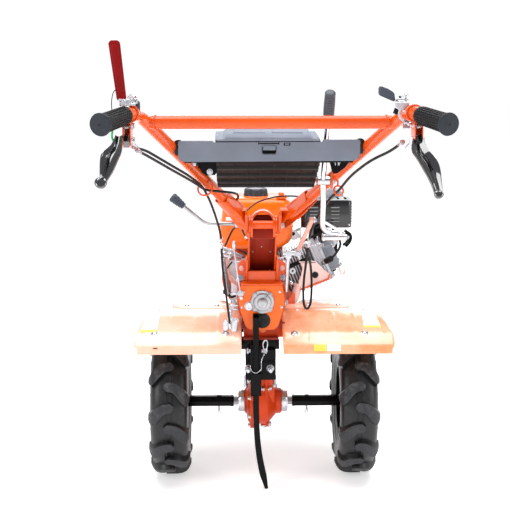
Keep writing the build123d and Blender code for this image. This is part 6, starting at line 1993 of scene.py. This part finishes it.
# ------------------------------------------------------------------ cables: adjusters and ferrules on the modelled runs
cf = Piece("cable_ferrules", "handlebar")
cf.use(ZINC)
for p, d in (((-296, -770, 995), (0.34, 0.93, -0.16)), ((-289, -770, 990), (0.32, 0.88, -0.3)), ((280, -760, 1006), (-0.28, 0.9, -0.37))):
    m = at(p, d)
    cf.add(lathe([(-1, 0), (-1, 4.2), (14, 4.2), (16, 3.8), (22, 3.4), (24, 3.2), (24, 0)], 14), m)
    cf.add(lathe([(4, 0), (4, 6.2), (8, 6.2), (8, 0)], 6), m)
for p, d in (((-114.2, -216, 702), (0.02, 0.65, -0.76)), ((113.6, -216, 703), (-0.02, 0.65, -0.76))):
    m = at(p, (-d[0], -d[1], -d[2]))
    cf.add(lathe([(0, 0), (0, 3.6), (10, 3.6), (12, 3.3), (12, 0)], 12), m)
cf.make((), None)

cg = Piece("cable_end_fittings", "chassis")
cg.use(ZINC)
for p, d in (((-114, -214, 694.5), (0.02, 0.47, -0.88)), ((113.5, -214, 696), (-0.05, 0.54, -0.84))):
    m = at(p, d)
    cg.add(lathe([(0, 0), (0, 4.0), (12, 4.0), (14, 3.4), (14, 0)], 12), m)
cg.add(lathe([(-2, 0), (-2, 4.4), (12, 4.4), (13, 3.4), (13, 0)], 12), at((-92, -144, 452), (-0.2, -0.1, 0.97)))
cg.add(lathe([(-2, 0), (-2, 4.6), (14, 4.6), (16, 3.6), (16, 0)], 12), at((118, 58, 640), (0.1, -0.99, 0)))
cg.add(lathe([(-2, 0), (-2, 3.4), (12, 3.4), (13, 2.6), (13, 0)], 12), at((116, 132, 771), (-0.4, -0.9, 0.2)))
cg.add(lathe([(-2, 0), (-2, 3.8), (10, 3.8), (11, 3), (11, 0)], 12), at((-47.5, -112, 690), (-0.3, 0.9, 0.5)))
cg.make((), None)

# ------------------------------------------------------------------ floor, light and camera
def stage_floor():
    me = bpy.data.meshes.new("floor")
    n, size = 24, 40.0
    v = [((i / n - 0.5) * size, (j / n - 0.5) * size, -0.0005) for j in range(n + 1) for i in range(n + 1)]
    f = [(j * (n + 1) + i, j * (n + 1) + i + 1, (j + 1) * (n + 1) + i + 1, (j + 1) * (n + 1) + i) for j in range(n) for i in range(n)]
    me.from_pydata(v, [], f)
    o = bpy.data.objects.new("floor", me)
    bpy.context.scene.collection.objects.link(o)
    k = Mat("floor_pale_glowing")
    k.link(k.ramp(k.noise(1.5, 3), [(0.3, (0.93, 0.93, 0.93, 1)), (0.7, (0.96, 0.96, 0.96, 1))]), k.b.inputs["Base Color"])
    k.b.inputs["Roughness"].default_value = 0.9
    k.b.inputs["Specular IOR Level"].default_value = 0.0
    # the floor glows white, more strongly away from the machine
    k.b.inputs["Emission Color"].default_value = (1.0, 1.0, 1.0, 1)
    d = k.n("ShaderNodeVectorMath")
    d.operation = "LENGTH"
    k.link(k.co, d.inputs[0])
    k.link(k.span(d.outputs["Value"], 0.43, 0.64, 0.7, 2.6), k.b.inputs["Emission Strength"])
    me.materials.append(k.m)


stage_floor()
world = bpy.data.worlds.new("studio")
bpy.context.scene.world = world
world.use_nodes = True
wn = world.node_tree
bg = wn.nodes["Background"]
tc = wn.nodes.new("ShaderNodeTexCoord")
sx = wn.nodes.new("ShaderNodeSeparateXYZ")
wn.links.new(tc.outputs["Generated"], sx.inputs[0])
cr = wn.nodes.new("ShaderNodeValToRGB")
wn.links.new(sx.outputs["Z"], cr.inputs["Fac"])
for _ in range(2):
    cr.color_ramp.elements.new(0.5)
for k, (p, c) in enumerate([(0.0, (1.0, 1.0, 1.0, 1)), (0.1, (1.0, 1.0, 1.0, 1)), (0.34, (0.36, 0.36, 0.38, 1)), (1.0, (0.34, 0.34, 0.36, 1))]):
    cr.color_ramp.elements[k].position = p
    cr.color_ramp.elements[k].color = c
wn.links.new(cr.outputs["Color"], bg.inputs["Color"])
bg.inputs["Strength"].default_value = 1.05


def area(name, loc, target, size, power, colour=(1, 1, 1)):
    l = bpy.data.lights.new(name, "AREA")
    l.shape, l.size, l.size_y = "RECTANGLE", size[0], size[1]
    l.energy, l.color = power, colour
    o = bpy.data.objects.new(name, l)
    o.location = loc
    o.rotation_mode = "QUATERNION"
    o.rotation_quaternion = (Vector(target) - Vector(loc)).to_track_quat("-Z", "Y")
    bpy.context.scene.collection.objects.link(o)


area("soft_top", (0.0, -0.1, 3.4), (0, 0, 0.6), (3.0, 2.6), 110)
area("soft_left", (-3.0, -2.6, 2.2), (0, 0, 0.6), (1.8, 2.2), 58)
area("soft_right", (3.2, -2.2, 1.9), (0, 0, 0.6), (1.6, 2.0), 38)
area("soft_front", (0.2, 4.4, 2.6), (0, 0, 0.6), (5.0, 2.4), 84)

cam = bpy.data.cameras.new("camera")
cam.sensor_width = 36.0
cam.lens = 86.4
cam.clip_start, cam.clip_end = 0.05, 100.0
co = bpy.data.objects.new("camera", cam)
pitch, yaw = math.radians(10.0), math.radians(1.1)
look = Vector((math.sin(yaw) * math.cos(pitch), math.cos(yaw) * math.cos(pitch), -math.sin(pitch)))
co.location = row((-87.2, -3373.6, 1221.9))
co.rotation_mode = "QUATERNION"
co.rotation_quaternion = look.to_track_quat("-Z", "Y")
bpy.context.scene.collection.objects.link(co)
bpy.context.scene.camera = co
vs = bpy.context.scene.view_settings
vs.view_transform, vs.look, vs.exposure, vs.gamma = "Standard", "None", 0.0, 1.0
